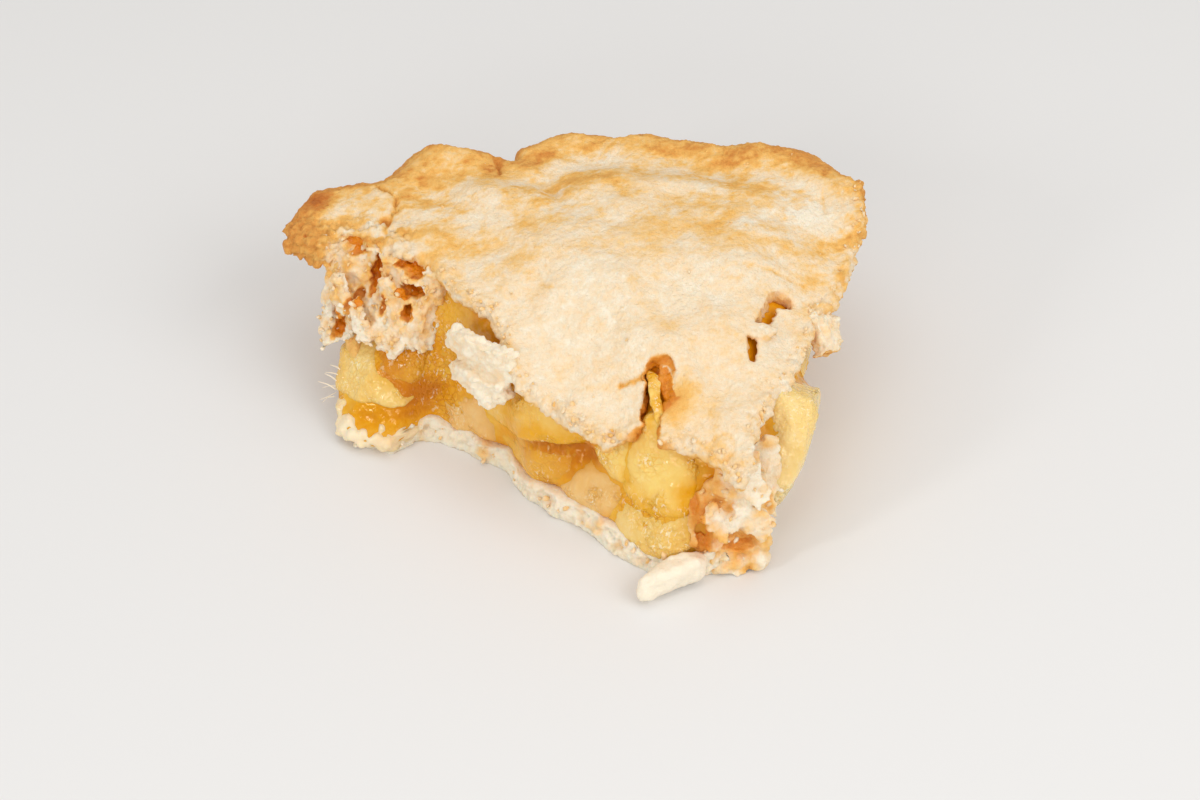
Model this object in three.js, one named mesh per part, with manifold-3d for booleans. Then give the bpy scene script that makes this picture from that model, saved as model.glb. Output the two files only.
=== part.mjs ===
// A slice of double-crust apple pie, cut by hand from an eight-inch pie. Millimetres and degrees, +Z up.
// The shapes are worked out with the slice's tip over the origin, its base at height 0 and +Y running to the
// rim. The last lines move the origin to the middle of the base.
import * as THREE from "three";
import { mergeVertices } from "three/addons/utils/BufferGeometryUtils.js";
import { ImprovedNoise } from "three/addons/math/ImprovedNoise.js";
import Module from "manifold-3d";

const { lerp, smoothstep, degToRad, radToDeg, clamp } = THREE.MathUtils;
const wasm = await Module();
wasm.setup();

// The whole pie's centre, the headings of the slice's two cuts, and how far from the tip the crusts start
const PIE_CENTRE = new THREE.Vector2(-33.7, 14.1);
const LONG_CUT = 137.5;
const SHORT_CUT = 61;
const NOSE = 3;
const BASE_NOSE = 6;

// The lid and its rolled rim. OVERHANG is how sharply it flares out over the short cut.
const LID_THICKNESS = 4.6;
const OVERHANG = 3;
const RIM_WIDTH = 15;
const RIM_THICKNESS = 9.5;
const RIM_ROLL = 6;
const RIM_RIPPLE = 1.3;

// The bottom crust, shaped by the pan
const CRUST_THICKNESS = 4.2;
const BASE_RADIUS = 76;
const WALL_TOP_RADIUS = 90;
const WALL_TOP_HEIGHT = 32;
const LIP_RADIUS = 103;

const GAP = 0.4;
const FILLING_INSET = 2.2;
const FILLING_LUMPS = 2.4;

// A smooth function through stops of [x, value], constant beyond the first and the last
function through(stops) {
  return (x) => {
    if (x <= stops[0][0]) return stops[0][1];
    for (let i = 1; i < stops.length; i++) {
      const [x0, y0] = stops[i - 1];
      const [x1, y1] = stops[i];
      if (x <= x1) return lerp(y0, y1, smoothstep(x, x0, x1));
    }
    return stops[stops.length - 1][1];
  };
}

// The rim's outer radius by the angle round the pie's centre. The dough laps in a fold at 94.5 degrees.
const rimRadius = through([
  [43, 109.5],
  [52, 112],
  [65, 108.5],
  [74, 109],
  [78, 107.8],
  [85, 110.4],
  [91.5, 107],
  [94.5, 101.5],
  [98.5, 106.4],
  [104.5, 113],
  [113.5, 106.6],
  [120.5, 113.4],
  [125, 111],
  [131, 104.5],
]);

// The lid's height: down its middle by the share of the way from tip to rim, and down its edges by distance
const lidMiddleHeight = through([
  [0, 34],
  [0.15, 38],
  [0.35, 46],
  [0.55, 50],
  [0.75, 49],
  [0.87, 44.5],
  [0.95, 45.8],
  [1, 43.5],
]);
const lidLongHeight = through([
  [0, 32],
  [20, 35],
  [30, 36],
  [38, 32],
  [52, 33.5],
  [62, 36.5],
  [72, 41.5],
  [82, 44.5],
  [104, 45],
  [125, 44],
  [140, 43],
]);
const lidShortHeight = through([
  [0, 32],
  [12, 37],
  [45, 41],
  [70, 43],
  [88, 45.5],
  [100, 47.5],
]);

// How far the slice stands out past its two straight cuts, at the lid's edge and at its foot
const longLidOut = through([
  [0, 2],
  [20, 0.5],
  [27, 4],
  [30, 0.5],
  [38, 6.5],
  [62, 5.5],
  [76, -3],
  [99, -10],
  [116, -12],
  [125, -10],
  [131, -5],
  [140, -3.9],
]);
const longFootOut = through([
  [0, 1],
  [20, 14.5],
  [33, 13],
  [45, 10],
  [58, 9],
  [72, 3],
  [88, 3],
  [94, 5],
  [98, 13.5],
  [108, 15.3],
  [114, 14.5],
]);
const shortLidOut = through([
  [0, -4.4],
  [13, -5.1],
  [21, -4.3],
  [26, -1.9],
  [50, -0.6],
  [60, 2],
  [78, 2.6],
  [100, 0],
]);
const shortFootOut = through([
  [0, 0.5],
  [12, -0.5],
  [20, -3],
  [30, -0.5],
  [44, -0.5],
  [58, -6],
  [75, -8],
  [90, -6],
]);

const noiseSource = new ImprovedNoise();

function noise(x, y, z, scale, seed) {
  return noiseSource.noise(x / scale + seed * 7.31, y / scale + seed * 3.17, z / scale + seed * 5.93);
}

function headingPoint(heading, distance) {
  const angle = degToRad(heading);
  return new THREE.Vector2(Math.cos(angle), Math.sin(angle)).multiplyScalar(distance);
}

const longAlong = headingPoint(LONG_CUT, 1);
const longOut = headingPoint(LONG_CUT + 90, 1);
const shortAlong = headingPoint(SHORT_CUT, 1);
const shortOut = headingPoint(SHORT_CUT - 90, 1);

// From the tip along a heading to a circle round the pie's centre
function reach(heading, radius) {
  const along = headingPoint(heading, 1).dot(PIE_CENTRE);
  return along + Math.sqrt(along * along - PIE_CENTRE.lengthSq() + radius * radius);
}

function rimReach(heading) {
  const near = headingPoint(heading, reach(heading, 108)).sub(PIE_CENTRE);
  return reach(heading, rimRadius(radToDeg(near.angle())));
}

// The long cut leans from its foot to the lid's edge, and over the short cut the lid overhangs.
function longSurface(along, up) {
  const share = clamp(up / (lidLongHeight(along) - LID_THICKNESS), 0, 1);
  return lerp(longFootOut(along), longLidOut(along), share);
}

function shortSurface(along, up) {
  const share = clamp(up / (lidShortHeight(along) - LID_THICKNESS), 0, 1);
  return lerp(shortFootOut(along), shortLidOut(along), Math.pow(share, OVERHANG));
}

// Moves a plan point out past the cuts: c is 0 at the long cut and 1 at the short one. Points nearer the
// slice's middle than MOVING_SHARE of its width stay where they are.
const MOVING_SHARE = 0.45;

function spread(point, c, longBy, shortBy) {
  const longShare = Math.pow(1 - Math.min(c / MOVING_SHARE, 1), 1.5);
  const shortShare = Math.pow(1 - Math.min((1 - c) / MOVING_SHARE, 1), 1.5);
  return point.addScaledVector(longOut, longBy * longShare).addScaledVector(shortOut, shortBy * shortShare);
}

// Moves each corner of a finely divided unit shape to place(corner), and keeps it closed.
function moved(geometry, place) {
  geometry.deleteAttribute("normal");
  geometry.deleteAttribute("uv");
  const merged = mergeVertices(geometry, 1e-5);
  const position = merged.getAttribute("position");
  const point = new THREE.Vector3();
  for (let i = 0; i < position.count; i++) {
    point.fromBufferAttribute(position, i);
    const to = place(point);
    position.setXYZ(i, to.x, to.y, to.z);
  }
  return merged;
}

function block(na, nb, nc, place) {
  const geometry = new THREE.BoxGeometry(1, 1, 1, na, nb, nc);
  return moved(geometry, (p) => place(p.x + 0.5, p.y + 0.5, p.z + 0.5));
}

// The torn strip of lid beside the tear has sunk a little. The lid has broad waves and small bumps.
const SUNKEN_STRIP = new THREE.Vector2(14, 34);
const SUNKEN_DEPTH = 2.2;
const LID_WAVES = 1.6;
const LID_BUMPS = 0.9;

function lidTop(distance, whole, c, point) {
  let z = lidMiddleHeight(distance / whole);
  z = lerp(lidLongHeight(distance), z, smoothstep(c, 0, 0.34));
  z = lerp(z, lidShortHeight(distance), smoothstep(c, 0.68, 1));
  const sunk = SUNKEN_DEPTH * Math.exp(-point.distanceToSquared(SUNKEN_STRIP) / 90);
  const waves = LID_WAVES * noise(point.x, point.y, 0, 23, 1);
  return z - sunk + waves + LID_BUMPS * noise(point.x, point.y, 0, 9, 2);
}

// The lid and rim. grow makes them larger all round, for cutting room for them out of what they touch.
function lid(grow) {
  return block(28, 2, 22, (a, b, c) => {
    const heading = lerp(LONG_CUT, SHORT_CUT, c);
    const whole = rimReach(heading) + grow;
    const share = 1 - Math.pow(1 - a, 1.25);
    const distance = lerp(NOSE - grow, whole, share);
    const point = headingPoint(heading, distance);
    const inside = whole - distance;
    const rimShare = 1 - smoothstep(inside, RIM_WIDTH * 0.75, RIM_WIDTH * 1.5);
    const thickness = lerp(LID_THICKNESS, RIM_THICKNESS, rimShare);
    const ripple = RIM_RIPPLE * rimShare * noise(point.x, point.y, 9, 13, 3);
    const top = lidTop(distance, whole, c, point) + ripple;
    const roll = Math.sqrt(1 - Math.pow(1 - clamp(inside / RIM_ROLL, 0, 1), 2));
    const half = (thickness / 2) * lerp(0.35, 1, roll) + 1.5 * grow;
    const edge = grow + 1.2 * (1 - Math.pow(2 * b - 1, 2)) + 1.6 * noise(point.x, point.y, b * 5, 6, 4);
    spread(point, c, longLidOut(distance) + edge, shortLidOut(distance) + edge);
    return new THREE.Vector3(point.x, point.y, top - thickness / 2 + (2 * b - 1) * half);
  });
}

// An upright cutter along a path seen from above, as wide as width(share of the way)
function upright(stops, width, low, high) {
  const path = new THREE.CatmullRomCurve3(stops.map(([x, y]) => new THREE.Vector3(x, y, 0)));
  return block(14, 1, 1, (a, b, c) => {
    const at = path.getPoint(a);
    const way = path.getTangent(a);
    const across = (c - 0.5) * width(a);
    return new THREE.Vector3(at.x + way.y * across, at.y - way.x * across, lerp(low, high, b));
  });
}

// The steam vent opens into the lid's long edge, and a tear loosens the strip of lid by the short cut.
function vent(grow) {
  const width = through([
    [0, 9],
    [0.3, 3.6],
    [0.62, 7.8],
    [0.85, 6],
    [1, 2.5],
  ]);
  const stops = [
    [-25.5, 10],
    [-20.4, 20],
    [-18.6, 26],
    [-17.4, 31],
    [-15.4, 34.5],
  ];
  return upright(stops, (share) => width(share) - 2 * grow, 20, 60);
}

function tear(grow) {
  const width = through([
    [0, 1.2],
    [0.3, 2.6],
    [1, 1.2],
  ]);
  const stops = [
    [17, 45.6],
    [12.5, 46.4],
    [8.8, 41],
    [4.6, 36],
    [3.4, 28.7],
  ];
  return upright(stops, (share) => width(share) - grow, 25, 60);
}

// How far from the tip the outside of the bottom crust's sloping wall is, at a height
function wallReach(heading, up) {
  const share = Math.pow(clamp(up / WALL_TOP_HEIGHT, 0, 1), 0.8);
  return reach(heading, lerp(BASE_RADIUS, WALL_TOP_RADIUS, share));
}

// The path of the bottom crust's outside, from the flat base up the wall to the lip under the rim
function panPath(heading) {
  const wallTop = wallReach(heading, WALL_TOP_HEIGHT);
  const lip = Math.min(reach(heading, LIP_RADIUS), rimReach(heading) - 2.5);
  const path = new THREE.SplineCurve([new THREE.Vector2(wallReach(heading, 0) - 2, 0.6)]);
  for (const share of [0.2, 0.55, 0.92]) {
    const up = WALL_TOP_HEIGHT * share;
    path.points.push(new THREE.Vector2(wallReach(heading, up), up));
  }
  path.points.push(new THREE.Vector2(lerp(wallTop, lip, 0.4), WALL_TOP_HEIGHT + 0.8));
  path.points.push(new THREE.Vector2(lip, WALL_TOP_HEIGHT + 1.2));
  return path;
}

function bottomCrust(grow) {
  // The share of the grid's rows that the flat base takes
  const flatShare = 0.66;
  return block(27, 1, 13, (a, b, c) => {
    const heading = lerp(LONG_CUT, SHORT_CUT, c);
    const path = panPath(heading);
    const at = path.getPoint(0);
    const normal = new THREE.Vector2(0, 1);
    if (a < flatShare) {
      at.set(lerp(BASE_NOSE, at.x - 2, a / flatShare), 0);
    } else {
      const share = (a - flatShare) / (1 - flatShare);
      path.getPoint(share, at);
      const way = path.getTangent(share);
      normal.set(-way.y, way.x);
    }
    const thickness = CRUST_THICKNESS * (1 + 0.3 * noise(at.x, c * 60, 0, 12, 5));
    at.addScaledVector(normal, lerp(-grow, thickness + grow, b));
    const point = headingPoint(heading, at.x);
    const edge = grow + 1.2 * noise(point.x, point.y, b * 3, 7, 6);
    spread(point, c, longSurface(at.x, at.y) + edge, shortSurface(at.x, at.y) + edge);
    return new THREE.Vector3(point.x, point.y, at.y);
  });
}

// The filling between the crusts, before room is cut in it for the slices of apple that show
function fillingCore(grow) {
  return block(12, 2, 9, (a, b, c) => {
    const heading = lerp(LONG_CUT, SHORT_CUT, c);
    const whole = rimReach(heading);
    const floor = CRUST_THICKNESS * 1.3 + GAP;
    const far = wallReach(heading, lerp(floor, WALL_TOP_HEIGHT, b)) - CRUST_THICKNESS * 1.25;
    const distance = lerp(10, far, a);
    const point = headingPoint(heading, distance);
    const roof = lidTop(distance, whole, c, point) - LID_THICKNESS - 2 * GAP;
    const z = lerp(floor, roof, b);
    const lumps = FILLING_LUMPS * noise(point.x, point.y, z * 1.2, 9, 8) - FILLING_INSET + grow;
    spread(point, c, longSurface(distance, z) + lumps, shortSurface(distance, z) + lumps);
    return new THREE.Vector3(point.x, point.y, z);
  });
}

// A point given along a cut from the tip, out past the cut and up from the base
function beside(side, [along, out, up]) {
  const way = side === "long" ? longAlong : shortAlong;
  const outward = side === "long" ? longOut : shortOut;
  const plan = way.clone().multiplyScalar(along).addScaledVector(outward, out);
  return new THREE.Vector3(plan.x, plan.y, up);
}

// Turns and moves a piece made along X and facing Y so that it runs between two points and faces out.
function laid(geometry, { side = "long", from, to, roll = 0 }) {
  const start = beside(side, from);
  const end = beside(side, to);
  const outward = beside(side, [0, 1, 0]);
  const x = end.clone().sub(start).normalize();
  const y = outward.addScaledVector(x, -outward.dot(x)).normalize();
  y.applyAxisAngle(x, degToRad(roll));
  const z = x.clone().cross(y);
  const set = new THREE.Matrix4().makeBasis(x, y, z).setPosition(start.add(end).multiplyScalar(0.5));
  return geometry.applyMatrix4(set);
}

function lengthOf({ side = "long", from, to }) {
  return beside(side, from).distanceTo(beside(side, to));
}

// A crescent of apple with softened edges
function appleSlice(apple, grow) {
  const { width, thick, bend = 0.1, taper = 0.3, narrow = 0.2, from } = apple;
  const length = lengthOf(apple);
  const squareness = 3;
  const shape = moved(new THREE.SphereGeometry(1, 10, 6), (p) => {
    const powers = [p.x, p.y, p.z].map((v) => Math.pow(Math.abs(v), squareness));
    const size = Math.pow(powers[0] + powers[1] + powers[2], -1 / squareness);
    const q = p.clone().multiplyScalar(size);
    const wave = 1 + 0.12 * noise(p.x, p.y, p.z, 0.9, from[0]);
    const narrowed = wave * (1 - narrow * (0.5 + 0.5 * q.x));
    return new THREE.Vector3(
      q.x * (length / 2 + grow) * wave,
      q.z * (thick / 2 + grow) * (1 - taper * q.y) * narrowed,
      -q.y * (width / 2 + grow) * narrowed - bend * length * (q.x * q.x - 0.4),
    );
  });
  return laid(shape, apple);
}

// A torn scrap of pastry: a curled plate with a ragged outline
function pastryScrap(scrap, grow) {
  const { width, thick, curl = 0.08, seed } = scrap;
  const length = lengthOf(scrap);
  const shape = block(6, 1, 5, (a, b, c) => {
    const x = 2 * a - 1;
    const z = 2 * c - 1;
    const ragged = (1 + 0.3 * noise(x * 2, 0, z * 2, 1.1, seed)) * (1 - 0.16 * x * x * z * z);
    const lump = 0.25 * thick * noise(x * 3, 0, z * 3, 1, seed + 9);
    return new THREE.Vector3(
      x * (length / 2 + grow) * ragged,
      (b - 0.5) * (thick + 2 * grow) * (1 - 0.17 * (x * x + z * z)) + lump - curl * length * (x * x - 0.4),
      z * (width / 2 + grow) * ragged,
    );
  });
  return laid(shape, scrap);
}

// A hollow in a crumbled face: how deep it is at a place, given its middle and half its size
function hollow(x, y, [midX, midY, halfX, halfY, depth]) {
  const far = Math.pow((x - midX) / halfX, 2) + Math.pow((y - midY) / halfY, 2);
  return depth * Math.max(0, 1 - far * far);
}

// The hollows in the crumbled pastry at the rim end of the long cut: [along, up, half sizes, depth]
const crumbHollows = [
  [121, 42, 3.5, 2.5, 4],
  [114, 36.5, 1.6, 5.5, 3],
  [105, 40.5, 4, 2, 4.5],
  [103, 35.5, 3, 1.8, 4],
  [102, 31, 1.8, 2.5, 3.5],
  [120.5, 26, 1.6, 4, 3.5],
];

function crumbledCrust(grow) {
  return block(14, 1, 10, (a, b, c) => {
    const along = lerp(95 - grow, lerp(124, 130, c) + grow, a);
    const up = lerp(24.5 + 1.2 * Math.sin(along * 0.9) - grow, 43 + grow, c);
    const ribs = 0.8 * Math.sin(along * 1.3 + up * 0.35) * (1 - c) + 1.8 * noise(along, 0, up, 5, 31);
    const pits = crumbHollows.reduce((sum, pit) => sum + hollow(along, up, pit), 0);
    const rounding = 5 * Math.pow(Math.abs(2 * a - 1), 4);
    const front = longSurface(along, up) + 3 + ribs - pits - rounding + 2 * grow;
    const back = longSurface(along, up) - 5 - grow;
    return beside("long", [along, lerp(Math.min(back, front - 1.5), front, b), up]);
  });
}

// The hollows in the torn pastry at the tip: [across, up, half sizes, depth]
const tipHollows = [
  [-13, 10, 1.6, 3.5, 3],
  [-5, 9, 5, 1.3, 2],
  [-14.5, 19, 1.5, 2.5, 2.5],
];

function tipCrust(grow) {
  return block(6, 1, 9, (a, b, c) => {
    const up = lerp(GAP, 32 + grow, c);
    const swell = Math.sin(Math.PI * Math.min(c * 1.1 + 0.08, 1));
    const left = -9 - 7 * swell - grow;
    const right = 1.2 + 1.8 * swell + grow;
    const x = lerp(left, right, a) + 0.8 * noise(a * 6, b * 4, up, 5, 41);
    const folds = 0.9 * Math.sin(up * 0.8 + a * 2.5) + 1.6 * noise(x, 0, up, 4.5, 42);
    const pits = tipHollows.reduce((sum, pit) => sum + hollow(x, up, pit), 0);
    const ends = 2.2 * Math.pow(Math.abs(2 * a - 1), 3);
    const front = 0.4 + up * lerp(0.2, 0.1, a) - folds + pits + ends - 2 * grow;
    return new THREE.Vector3(x, lerp(front, 11 - ends + grow, b), up);
  });
}

const scraps = [
  {
    name: "crust_flake",
    from: [65, 6, 36.5],
    to: [86.5, 1.2, 33],
    width: 15,
    thick: 5,
    seed: 21,
  },
  {
    name: "crust_side",
    side: "short",
    from: [50.5, -0.5, 38.5],
    to: [45, 6, 31.5],
    width: 10,
    thick: 5,
    roll: 20,
    seed: 22,
  },
];

const apples = [
  { name: "apple_tip", from: [21, 6, 12.5], to: [32.5, -6, 42], width: 21, thick: 11, narrow: 0.7 },
  { name: "apple_tip_small", from: [31.5, 7, 20], to: [41.5, 6, 29.5], width: 8, thick: 7 },
  { name: "apple_long", from: [39, 4, 28], to: [74, 3, 22], width: 14, thick: 10 },
  { name: "apple_low", from: [43, 5.5, 15], to: [69, 4.5, 15], width: 14, thick: 10 },
  { name: "apple_pale", from: [33, 7, 13.5], to: [50, 8, 13.5], width: 9, thick: 7 },
  { name: "apple_front", from: [13, 7.5, 7.5], to: [33, 9.5, 7.5], width: 14, thick: 9 },
  { name: "apple_wet", from: [69, 2, 15.5], to: [87, 3, 15], width: 12, thick: 9 },
  { name: "apple_high", from: [75, -5, 41], to: [95, -4.5, 23], width: 15, thick: 9 },
  { name: "apple_amber", from: [88, 1, 11], to: [107, 0, 25], width: 15, thick: 9 },
  { name: "apple_corner", from: [97, 5, 13], to: [117, 6.5, 18], width: 13, thick: 9 },
  { name: "apple_foot", from: [93, 10, 4.2], to: [106, 13.2, 4.4], width: 8, thick: 7 },
  {
    name: "apple_side",
    side: "short",
    from: [33, 3.5, 33],
    to: [11, -0.5, 7],
    width: 23,
    thick: 9,
    narrow: 0.4,
  },
  { name: "apple_short", side: "short", from: [38, -4.5, 14], to: [60, -9.5, 13], width: 15, thick: 9 },
  { name: "apple_short_top", side: "short", from: [40, -7, 27], to: [72, -7.5, 29], width: 14, thick: 9 },
];

// The soft strip of dough that has slumped down in front of the tip
const strip = {
  name: "tip_strip",
  from: [10, 6.5, 5],
  to: [19.5, 23.5, 4],
  width: 8,
  thick: 7,
  bend: 0.03,
  taper: 0.1,
};

function solidOf(geometry) {
  const mesh = new wasm.Mesh({
    numProp: 3,
    vertProperties: new Float32Array(geometry.getAttribute("position").array),
    triVerts: new Uint32Array(geometry.index.array),
  });
  return new wasm.Manifold(mesh);
}

function geometryOf(solid) {
  const mesh = solid.getMesh();
  return new THREE.BufferGeometry()
    .setAttribute("position", new THREE.BufferAttribute(mesh.vertProperties, 3))
    .setIndex(new THREE.BufferAttribute(mesh.triVerts, 1));
}

// Cutting can leave a scrap behind, which is dropped.
function largest(solid) {
  return solid.decompose().reduce((most, piece) => (piece.volume() > most.volume() ? piece : most));
}

function pastry(colour) {
  return new THREE.MeshStandardMaterial({ color: colour, roughness: 0.85, metalness: 0 });
}

function fruit(colour) {
  return new THREE.MeshStandardMaterial({ color: colour, roughness: 0.25, metalness: 0 });
}

const LID_COLOUR = "#e9c893";
const CRUST_COLOUR = "#e6c48c";
const DOUGH_COLOUR = "#f0dcb4";
const APPLE_COLOUR = "#e2b44f";
const SYRUP_COLOUR = "#c98a34";

const slice = new THREE.Group();

// Adds a piece, cut clear of the room that each piece before it takes up.
const rooms = [];

function addPiece(name, solid, room, material) {
  const clear = rooms.reduce((rest, other) => rest.subtract(other), solid);
  rooms.push(room);
  const mesh = new THREE.Mesh(geometryOf(largest(clear)), material);
  mesh.name = name;
  slice.add(mesh);
}

function addShape(name, shape, material) {
  addPiece(name, solidOf(shape(0)), solidOf(shape(GAP)), material);
}

function lidSolid(grow) {
  return solidOf(lid(grow)).subtract(solidOf(vent(grow))).subtract(solidOf(tear(grow)));
}

addPiece("top_crust", lidSolid(0), lidSolid(GAP), pastry(LID_COLOUR));
addShape("bottom_crust", bottomCrust, pastry(CRUST_COLOUR));
addShape("tip_crust", tipCrust, pastry(DOUGH_COLOUR));
addShape("crumbled_crust", crumbledCrust, pastry(CRUST_COLOUR));
for (const scrap of scraps) {
  addShape(scrap.name, (grow) => pastryScrap(scrap, grow), pastry(DOUGH_COLOUR));
}
addShape(strip.name, (grow) => appleSlice(strip, grow), pastry(DOUGH_COLOUR));
for (const apple of apples) {
  addShape(apple.name, (grow) => appleSlice(apple, grow), fruit(APPLE_COLOUR));
}
addShape("filling", fillingCore, fruit(SYRUP_COLOUR));

const bounds = new THREE.Box3().setFromObject(slice);
const middle = bounds.getCenter(new THREE.Vector3());
slice.position.set(-middle.x, -middle.y, -bounds.min.z);

export default slice;
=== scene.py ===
import math
from itertools import product

import bpy
import numpy as np
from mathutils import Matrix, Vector
from mathutils.kdtree import KDTree


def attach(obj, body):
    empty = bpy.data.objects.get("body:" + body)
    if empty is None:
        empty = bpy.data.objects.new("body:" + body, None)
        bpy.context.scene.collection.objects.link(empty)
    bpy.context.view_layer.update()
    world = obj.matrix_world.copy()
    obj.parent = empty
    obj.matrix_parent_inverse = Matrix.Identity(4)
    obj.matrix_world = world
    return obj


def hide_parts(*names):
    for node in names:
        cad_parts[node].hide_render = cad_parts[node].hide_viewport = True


# A slice of double-crust apple pie. Shapes are worked out in millimetres with its tip over the origin, its
# base at height 0 and +Y to the rim, as in the CAD source, and are moved into the frame at the end. Places on
# a cut are given as along (from the tip), out (past the cut) and up.

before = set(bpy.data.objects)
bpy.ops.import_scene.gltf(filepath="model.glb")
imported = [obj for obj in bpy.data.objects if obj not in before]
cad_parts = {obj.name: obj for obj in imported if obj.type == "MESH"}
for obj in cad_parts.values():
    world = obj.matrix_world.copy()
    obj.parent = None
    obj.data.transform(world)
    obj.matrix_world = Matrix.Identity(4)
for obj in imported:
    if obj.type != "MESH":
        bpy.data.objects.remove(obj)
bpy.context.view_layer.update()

MM = 0.001
TIP = np.array((25.60, -59.16, 0.0))

# The photograph's camera, from the ellipse of the plate that the slice lay on
CAMERA_AT = (-117.7, -408.4, 459.7)
CAMERA_DOWN = 43.57
CAMERA_TURN = -11.0
CAMERA_LENS = 78.0
CAMERA_SENSOR = 36

# The same sizes as in the CAD source
PIE_CENTRE = np.array((-33.7, 14.1))
LONG_CUT = 137.5
SHORT_CUT = 61.0
NOSE = 3.0
BASE_NOSE = 6.0
LID_THICKNESS = 4.6
OVERHANG = 3
RIM_WIDTH = 15.0
RIM_THICKNESS = 9.5
RIM_ROLL = 6.0
USUAL_RIM_RADIUS = 108.0
CRUST_THICKNESS = 4.2
BASE_RADIUS = 76.0
WALL_TOP_RADIUS = 90.0
WALL_TOP_HEIGHT = 32.0
LIP_RADIUS = 103.0
GAP = 0.4

# How wide a crease between pieces of apple the juice fills, how squarely the pieces are cut, how much they
# swell past their solids, and how finely they are divided
CREASE_FILL = 4.5
CHUNK_EDGE = 5
FRUIT_SWELL = 0.6
FRUIT_FACES = 40

# Sizes of the voxels that the meshes are made of
LID_CUT_VOXEL = 0.5
LID_VOXEL = 0.58
BASE_VOXEL = 0.65
CRUMBLED_VOXEL = 0.42
DOUGH_VOXEL = 0.4
JUICE_VOXEL = 0.8


# Numbers

def lerp(a, b, share):
    return a + (b - a) * share


def ease(x, low, high):
    """0 up to low, 1 from high on, and smooth between"""
    share = np.clip((x - low) / (high - low), 0, 1)
    return share * share * (3 - 2 * share)


def falloff(far, width, power=2):
    """1 at no distance and next to 0 well past width; a higher power gives a harder edge"""
    return np.exp(-(far / width) ** power)


def distance_to(points, place):
    return np.linalg.norm(points - place, axis=1)


def columns(*parts):
    """Points put together from x, y and z, or from a plan and a height"""
    return np.column_stack(parts)


def flat(plan, z=0.0):
    return columns(plan, np.full(len(plan), z))


def through(*stops):
    """A smooth function through stops of (x, value), constant beyond the first and the last"""
    xs, ys = np.array(stops, float).T

    def value(x):
        x = np.clip(x, xs[0], xs[-1])
        i = np.clip(np.searchsorted(xs, x, side="right") - 1, 0, len(xs) - 2)
        return lerp(ys[i], ys[i + 1], ease(x, xs[i], xs[i + 1]))

    return value


def curve(knots, share):
    """Places and directions at shares of a smooth curve through knots, which are given for each share"""
    knots = np.concatenate([2 * knots[:1] - knots[1:2], knots, 2 * knots[-1:] - knots[-2:-1]])
    at_knot = share * (len(knots) - 3)
    i = np.minimum(at_knot.astype(int), len(knots) - 4)
    t = at_knot - i
    p0, p1, p2, p3 = (knots[i + k, :, np.arange(len(share))].T for k in range(4))
    square = 2 * p0 - 5 * p1 + 4 * p2 - p3
    cube = 3 * p1 - p0 - 3 * p2 + p3
    at = 0.5 * (2 * p1 + (p2 - p0) * t + square * t**2 + cube * t**3)
    way = 0.5 * ((p2 - p0) + 2 * square * t + 3 * cube * t**2)
    return at, way / np.linalg.norm(way, axis=0)


def scrambled(cell, seed):
    """A whole number under 2**24 for each cell of a grid, always the same for the same cell and seed"""
    x, y, z = (cell[..., i] for i in range(3))
    h = (x * 73856093) ^ (y * 19349663) ^ (z * 83492791) ^ (seed * 2654435761)
    for _ in range(2):
        h &= 0xFFFFFFFF
        h = (h ^ (h >> 16)) * 0x45D9F3B
    h &= 0xFFFFFFFF
    return (h ^ (h >> 16)) & 0xFFFFFF


def noise(points, scale, seed):
    """Smooth noise of about -1 to 1 whose bumps are scale across"""
    q = points / scale
    cell = np.floor(q).astype(np.int64)
    f = q - cell
    fade = f * f * f * (f * (f * 6 - 15) + 10)
    total = np.zeros(len(q))
    for corner in product((0, 1), repeat=3):
        h = scrambled(cell + corner, seed)
        away = f - corner
        slope = sum(((h >> (8 * i) & 255) / 127.5 - 1) * away[:, i] for i in range(3))
        total += slope * np.prod(np.where(corner, fade, 1 - fade), axis=1)
    return total * 1.5


def fractal(points, scale, seed, octaves=3, fall=0.5):
    return sum(noise(points, scale / 2**i, seed + i) * fall**i for i in range(octaves))


def cells(points, scale, seed):
    """For round grains about scale across: how far the nearest grain's middle is, in grains, and a number
    from 0 to 1 of that grain's own"""
    q = points / scale
    base = np.floor(q).astype(np.int64)
    near = np.full(len(q), 9.0)
    own = np.zeros(len(q))
    for step in product((-1, 0, 1), repeat=3):
        h = scrambled(base + step, seed)
        spot = base + step + np.stack([(h >> (8 * i) & 255) / 255 for i in range(3)], axis=1)
        far = distance_to(q, spot)
        own = np.where(far < near, (h * 7919 % 1009) / 1009, own)
        near = np.minimum(near, far)
    return near, own


def near_line(plan, stops):
    """How far plan points are from a line through stops"""
    stops = np.array(stops, float)
    far = np.full(len(plan), 99.0)
    for start, way in zip(stops[:-1], stops[1:] - stops[:-1]):
        share = np.clip((plan - start) @ way / (way @ way), 0, 1)
        far = np.minimum(far, np.linalg.norm(plan - start - share[:, None] * way, axis=1))
    return far


def spots(plan, places):
    """Soft round spots of (x, y, radius, strength)"""
    return sum(strength * np.exp(-((plan - (x, y)) ** 2).sum(axis=1) / radius**2)
               for x, y, radius, strength in places)


# The pie's forms

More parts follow.
